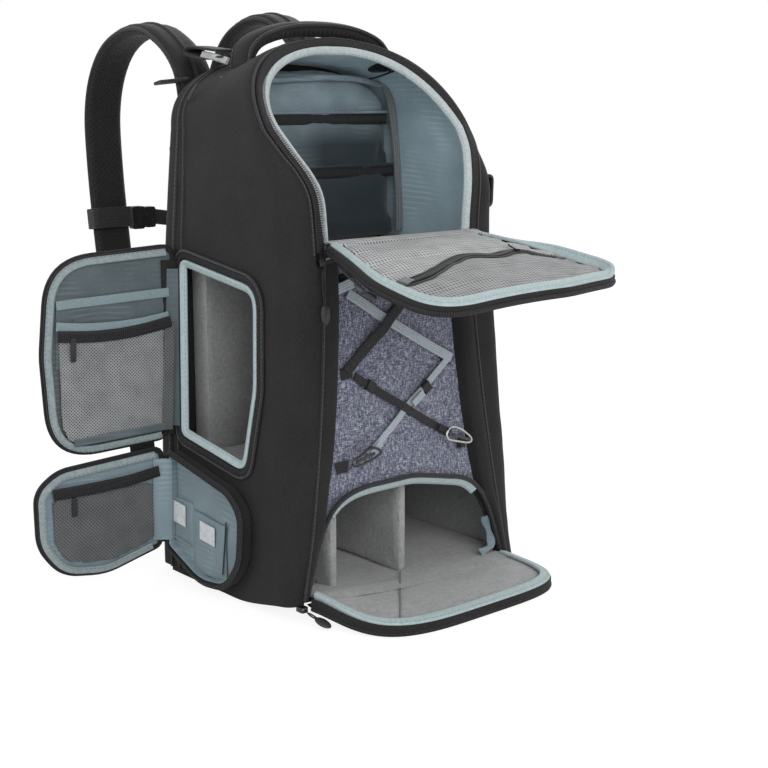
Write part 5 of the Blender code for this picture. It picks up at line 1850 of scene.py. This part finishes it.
def outer_ways(line):
    ways = []
    for k in range(len(line)):
        way = heading(line, k)
        ways.append(Vector((0, -way.z, way.y)))
    return ways


print("a strap has", len(strap_line("left")), "points along it")


# %% A padded band
def nearest(line, p):
    return min(range(len(line)), key=lambda k: (line[k] - p).length_squared)


def padded_band(name, line, ways, width, thick, node, cap=0.0018):
    """A foam band: cloth on its outer face, air mesh on its inner face, laid out along it."""
    made = sweep(bmesh.new(), line, ways, tape(width - 0.002, thick - 0.0025, thick * 0.40, 6))

    def sewn(p):
        k = nearest(line, p)
        across = heading(line, k).cross(ways[k])
        return 1.0 if abs((p - line[k]).dot(across)) > 0.36 * width else 0.0

    mesh = puffed(meshed(made, "band"), 0.0034, 3.0, cap, sewn, 3)
    runs = lengths(line)
    near = [nearest(line, v.co) for v in mesh.vertices]
    lengthwise = abs(ways[0].x) < 0.5 and abs(line[0].x - line[-1].x) < 0.01
    side = Vector((1, 0, 0)) if lengthwise else Vector((0, 1, 0))
    uv = mesh.uv_layers.new(name="lay")
    for loop in mesh.loops:
        v = mesh.vertices[loop.vertex_index]
        k = near[loop.vertex_index]
        along = runs[k] + (v.co - line[k]).dot(heading(line, k))
        uv.data[loop.index].uv = (along, (v.co - line[k]).dot(side))
    for face in mesh.polygons:
        k = near[face.vertices[0]]
        face.material_index = 1 if face.normal.dot(ways[k]) < -0.25 else 0
    item = show_mesh(name, mesh, [soft_black, air_net], "bag", (node,))
    return item


print("band tool ready")

# %% Two padded straps
for side in ("left", "right"):
    line = strap_line(side)
    ways = outer_ways(line)
    padded_band("strap_" + side, line, ways, 0.042, 0.014, "shoulder_strap_" + side)
    raised = [p + w * 0.0060 for p, w in zip(line, ways)]
    strip("strap_centre_seam_" + side, raised[2:-2], ways[2:-2], tape(0.0032, 0.0032), black_binding)
    for edge_side in (-1, 1):
        rim = [p + Vector((edge_side * 0.0192, 0, 0)) + w * 0.0008 for p, w in zip(line, ways)]
        strip(f"strap_edge_{side}_{'out' if edge_side < 0 else 'in'}", rim, ways, ring(0.0019),
              black_binding)
print("straps made")

# %% [markdown]
# ### Webbing, lifters and chest strap
# Flat webbing runs from the strap ends to the base, short lifters tie the straps to the crown, and
# two loops hold the chest strap. They are tapes again, with the way up worked out at each point.

# %% Webbing below the straps and load lifters
WEB_RUN = [(0.2540, 0.2090), (0.2475, 0.1870), (0.2385, 0.150), (0.232, 0.100), (0.220, 0.050),
           (0.196, 0.014), (0.165, 0.0048), (0.135, 0.014), (0.1085, 0.038)]
LIFTER_RUN = [(0.052, 0.4872), (0.076, 0.4858), (0.098, 0.4872), (0.1145, 0.4915)]
for side in ("left", "right"):
    for node, run, width in (("strap_webbing_", WEB_RUN, 0.030), ("load_lifter_", LIFTER_RUN, 0.024)):
        line = smooth_path([(STRAP_X[side], y, z) for y, z in run], 0.004)
        strip(node + side + "_tape", line, outer_ways(line), tape(width, 0.0024), black_webbing, "bag",
              (node + side,))
    x = STRAP_X[side]
    fold = smooth_path([(x, 0.062, 0.4925), (x, 0.085, 0.4950), (x, 0.106, 0.4968), (x, 0.1135, 0.4945),
                        (x, 0.1125, 0.4895), (x, 0.104, 0.4885)], 0.0015)
    strip("lifter_fold_" + side, fold, outer_ways(fold), tape(0.0235, 0.0026), black_webbing)
    # Pale bars on both sides of the lifter buckle: a painted highlight on its glossy edges.
    for hand in (-1, 1):
        bar = smooth_path([(x + hand * 0.0095, 0.086, 0.4898), (x + hand * 0.0105, 0.067, 0.4872),
                           (x + hand * 0.0095, 0.0465, 0.4830)], 0.003)
        strip(f"lifter_highlight_bar_{side}_{'out' if hand < 0 else 'in'}", bar, (hand, 0, 0.5), tape(0.0068, 0.0030),
              plastic_painted_highlight)

for side, way in (("left", -1), ("right", 1)):
    root = STRAP_X[side]
    tab = smooth_path([(root + way * 0.012, 0.1110, 0.4670), (root + way * 0.026, 0.1125, 0.4655),
                       (root + way * 0.0425, 0.1125, 0.4640)], 0.003)
    strip("strap_root_tab_" + side, tab, (0, 0.2, 1), tape(0.0130, 0.0030), black_webbing)
print("webbing and lifters made")

# %% Chest strap loops and webbing
for side in ("left", "right"):
    line = strap_line(side)
    k = min((j for j in range(len(line)) if line[j].y > 0.24), key=lambda j: abs(line[j].z - 0.325))
    way = heading(line, k)
    out = Vector((0, -way.z, way.y))
    loop = []
    for px, po in ((1, 1), (-1, 1), (-1, -1), (1, -1)):
        loop += [line[k] + Vector((px * 0.0226, 0, 0)) * (1 if c else 0.86)
                 + out * po * (0.0088 if not c else 0.0062)
                 for c in ((True, False) if px * po > 0 else (False, True))]
    loop = even_path(loop, 0.003, True)
    ups = [(p - line[k] - way * (p - line[k]).dot(way)).normalized() for p in loop]
    strip("chest_loop_" + side, loop, ups, tape(0.021, 0.0020), black_webbing, "bag",
          ("sternum_loop_" + side,), closed=True)
low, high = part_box("sternum_webbing")
y, z = (low[1] + high[1]) / 2, (low[2] + high[2]) / 2
chest = smooth_path([(low[0], y, z), (low[0] * 0.5 + high[0] * 0.5, y + 0.002, z - 0.004), (high[0], y, z)],
                    0.004)
strip("chest_webbing", chest, (0, 1, 0), tape(0.016, 0.0024), black_webbing, "bag", ("sternum_webbing",))
print("chest strap made")

# %% [markdown]
# ### Handle and back
# The handle is a padded band like the straps, bent over the crown. The back panel and its pads keep
# the frame's shape and are only puffed, because that shape is already right.

# %% Grab handle
HANDLE_RUN = [(0.0830, 0.4740), (0.0825, 0.4845), (0.0790, 0.4935), (0.0668, 0.5027), (0.0380, 0.5107),
              (0.0, 0.5132)]
left_half = [(-x, 0.031, z) for x, z in HANDLE_RUN]
right_half = [(x * 0.94, 0.031, z) for x, z in reversed(HANDLE_RUN[:-1])]
grip = smooth_path(left_half + right_half, 0.004)
grip_ways = []
for k in range(len(grip)):
    way = heading(grip, k)
    grip_ways.append(Vector((-way.z, 0, way.x)))
padded_band("handle_grip", grip, grip_ways, 0.028, 0.0165, "grab_handle", 0.0016)
for side in (-1, 1):
    rim = [p + Vector((0, side * 0.0132, 0)) + w * 0.0035 for p, w in zip(grip, grip_ways)]
    strip("handle_edge_" + ("front" if side < 0 else "back"), rim, grip_ways, ring(0.0017), black_binding)
print("handle has", len(grip), "points along it")

# %% Back panel, pads and base
for node, voxel, cap, finish in (("back_panel", 0.0045, 0.0025, black_cloth),
                                 ("base_panel", 0.0040, 0.0012, black_cloth),
                                 ("back_pad_left", 0.0040, 0.0045, air_net),
                                 ("back_pad_right", 0.0040, 0.0045, air_net),
                                 ("lumbar_pad", 0.0040, 0.0045, air_net)):
    mesh = puffed(node_mesh(node), voxel, {"base_panel": 0.0, "back_panel": 1.5}.get(node, 4.0), cap, None,
                  14 if node == "back_panel" else 4)
    if node == "base_panel":
        for v in mesh.vertices:
            v.co.z = max(v.co.z, 0.0)
    lay_on(mesh, (0, 0, 0), (1, 0, 0), (0, 0, 1))
    item = show_mesh("padded_" + node, mesh, finish, "bag", (node,))
print("back and base made")

# %% [markdown]
# ## Zip pulls
# The big zips have a loop of thin cord with a flat oval puller moulded on its end. Both parts
# swing together on the slider, so they ride on the pull's own body.


# %% Cord and oval puller
def puller(name, start, end, face, body, oval, stands_for=()):
    """A doubled cord from the slider to an oval puller; oval is its half length, width and thickness."""
    start, end, face = Vector(start), Vector(end), Vector(face)
    way = (end - start).normalized()
    side = way.cross(face).normalized()
    neck = end - way * oval[0] * 1.5
    made = bmesh.new()
    for hand in (-1, 1):
        cord = smooth_path([start, start.lerp(neck, 0.3) + side * hand * 0.0012,
                            start.lerp(neck, 0.7) + side * hand * 0.0010, neck], 0.002)
        sweep(made, cord, face, ring(0.0007, 6))
    pair = [show(name + "_cord", made, black_webbing, body)]
    made = bmesh.new()
    bmesh.ops.create_uvsphere(made, u_segments=24, v_segments=14, radius=1.0)
    turn = Matrix((way, side, face)).transposed().to_4x4()
    size = Matrix.Diagonal((oval[0], oval[1], oval[2], 1.0))
    bmesh.ops.transform(made, matrix=Matrix.Translation(end - way * oval[0]) @ turn @ size,
                        verts=made.verts[:])
    return pair + [show(name + "_oval", made, grey_rubber, body, stands_for)]


puller("top_pull", (-0.0925, -0.0914, 0.3065), (-0.0895, -0.0914, 0.2572), (0, -1, 0), "top_zip_pull",
       (0.0095, 0.0052, 0.0024), ("top_zip_pull",))
puller("low_pull", (-0.1318, -0.1145, 0.0122), (-0.1250, -0.1380, 0.0035), (0, -0.33, 0.94), "low_zip_pull",
       (0.0085, 0.0052, 0.0020), ("low_zip_pull",))
slider_mesh = node_mesh("low_zip_slider")
slider_mesh.transform(Matrix.Translation((-0.0013, 0.0010, 0.0100)))
show_mesh("low_slider", slider_mesh, dark_steel, "bag", ("low_zip_slider",))
puller("lid_pull", at(FLAP, 0.0985, 0.030, -0.0050), at(FLAP, 0.1235, 0.106, -0.0120), FLAP[3], "top_flap",
       (0.0085, 0.0052, 0.0020))
print("zip pulls made")

# %% [markdown]
# ## Small hard parts
# A plastic loop stands out on the right side, with a stub of webbing through it. Sliders, locks and
# pulls are moulded, and the frame already has their shape, so they only get a finish.

# %% Buckle loop on the right side
loop = [Vector((x, -0.060, z)) for x, z in rounded([(0.1300, 0.3475), (0.1415, 0.3475), (0.1425, 0.3765),
                                                    (0.1310, 0.3765)], 0.005, 5)]
loop = even_path(loop, 0.0015, True)
middle = sum(loop, Vector()) / len(loop)
strip("buckle_loop", loop, [(p - middle).normalized() for p in loop], tape(0.0100, 0.0034), black_plastic,
      "bag", ("side_buckle",), closed=True)
strip("buckle_strap", even_path([(0.1250, -0.060, 0.3620), (0.1345, -0.060, 0.3620)], 0.002), (0, -1, 0),
      tape(0.0200, 0.0030), black_webbing)
print("buckle loop made")

# %% Hard parts keep their own shape
MOULDED = ("grey_lace_slider", "black_lace_slider", "top_pocket_pull", "side_door_pull", "card_door_pull",
           "ladder_lock_left", "ladder_lock_right", "sternum_socket", "sternum_plug")
hard_nodes = dict.fromkeys(MOULDED, black_plastic) | {"top_zip_slider": dark_steel}
for node, finish in hard_nodes.items():
    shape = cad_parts[node].data
    shape.materials.clear()
    shape.materials.append(finish)
print(len(hard_nodes), "hard parts painted")

# %% [markdown]
# ## The soft front corner and arch
# A stuffed bag does not stand on a sharp corner: at its left front foot the cloth is pulled up
# and rounded, and the left half of the arch above the lower flap is drawn up with it. The pieces
# that meet there are moved together by one smooth shift, so that they stay joined. It could be
# built into each piece, but one shift at the end keeps them in step.


# %% Pull the corner up
def tuck(p):
    lifted = 0.0130 * smoothstep(0.0, -0.130, p.x) * smoothstep(-0.02, -0.115, p.y)
    return lifted * (1 - smoothstep(0.0, 0.09, p.z))


for name in ("body_shell", "front_bands", "front_seam_left", "mouth_piping", "padded_base_panel",
             "low_room_floor", "low_hinge_felt", "low_hinge_back"):
    for vert in bpy.data.objects[name].data.vertices:
        share = 1 - smoothstep(-0.011, 0.002, local(LOW, vert.co)[1]) if "hinge" in name else 1.0
        vert.co.z += tuck(vert.co) * share
print("corner pulled up")


# %% Draw the arch up
def draw_up(p):
    over = smoothstep(0.062, 0.0, p.x) * smoothstep(-0.125, -0.085, p.x)
    return 0.0088 * over * smoothstep(0.03, 0.075, p.z) * (1 - smoothstep(0.100, 0.135, p.z))


for name in ("heather_panel", "front_bands", "mouth_piping", "mouth_binding"):
    for vert in bpy.data.objects[name].data.vertices:
        vert.co.z += draw_up(vert.co)
print("arch drawn up")
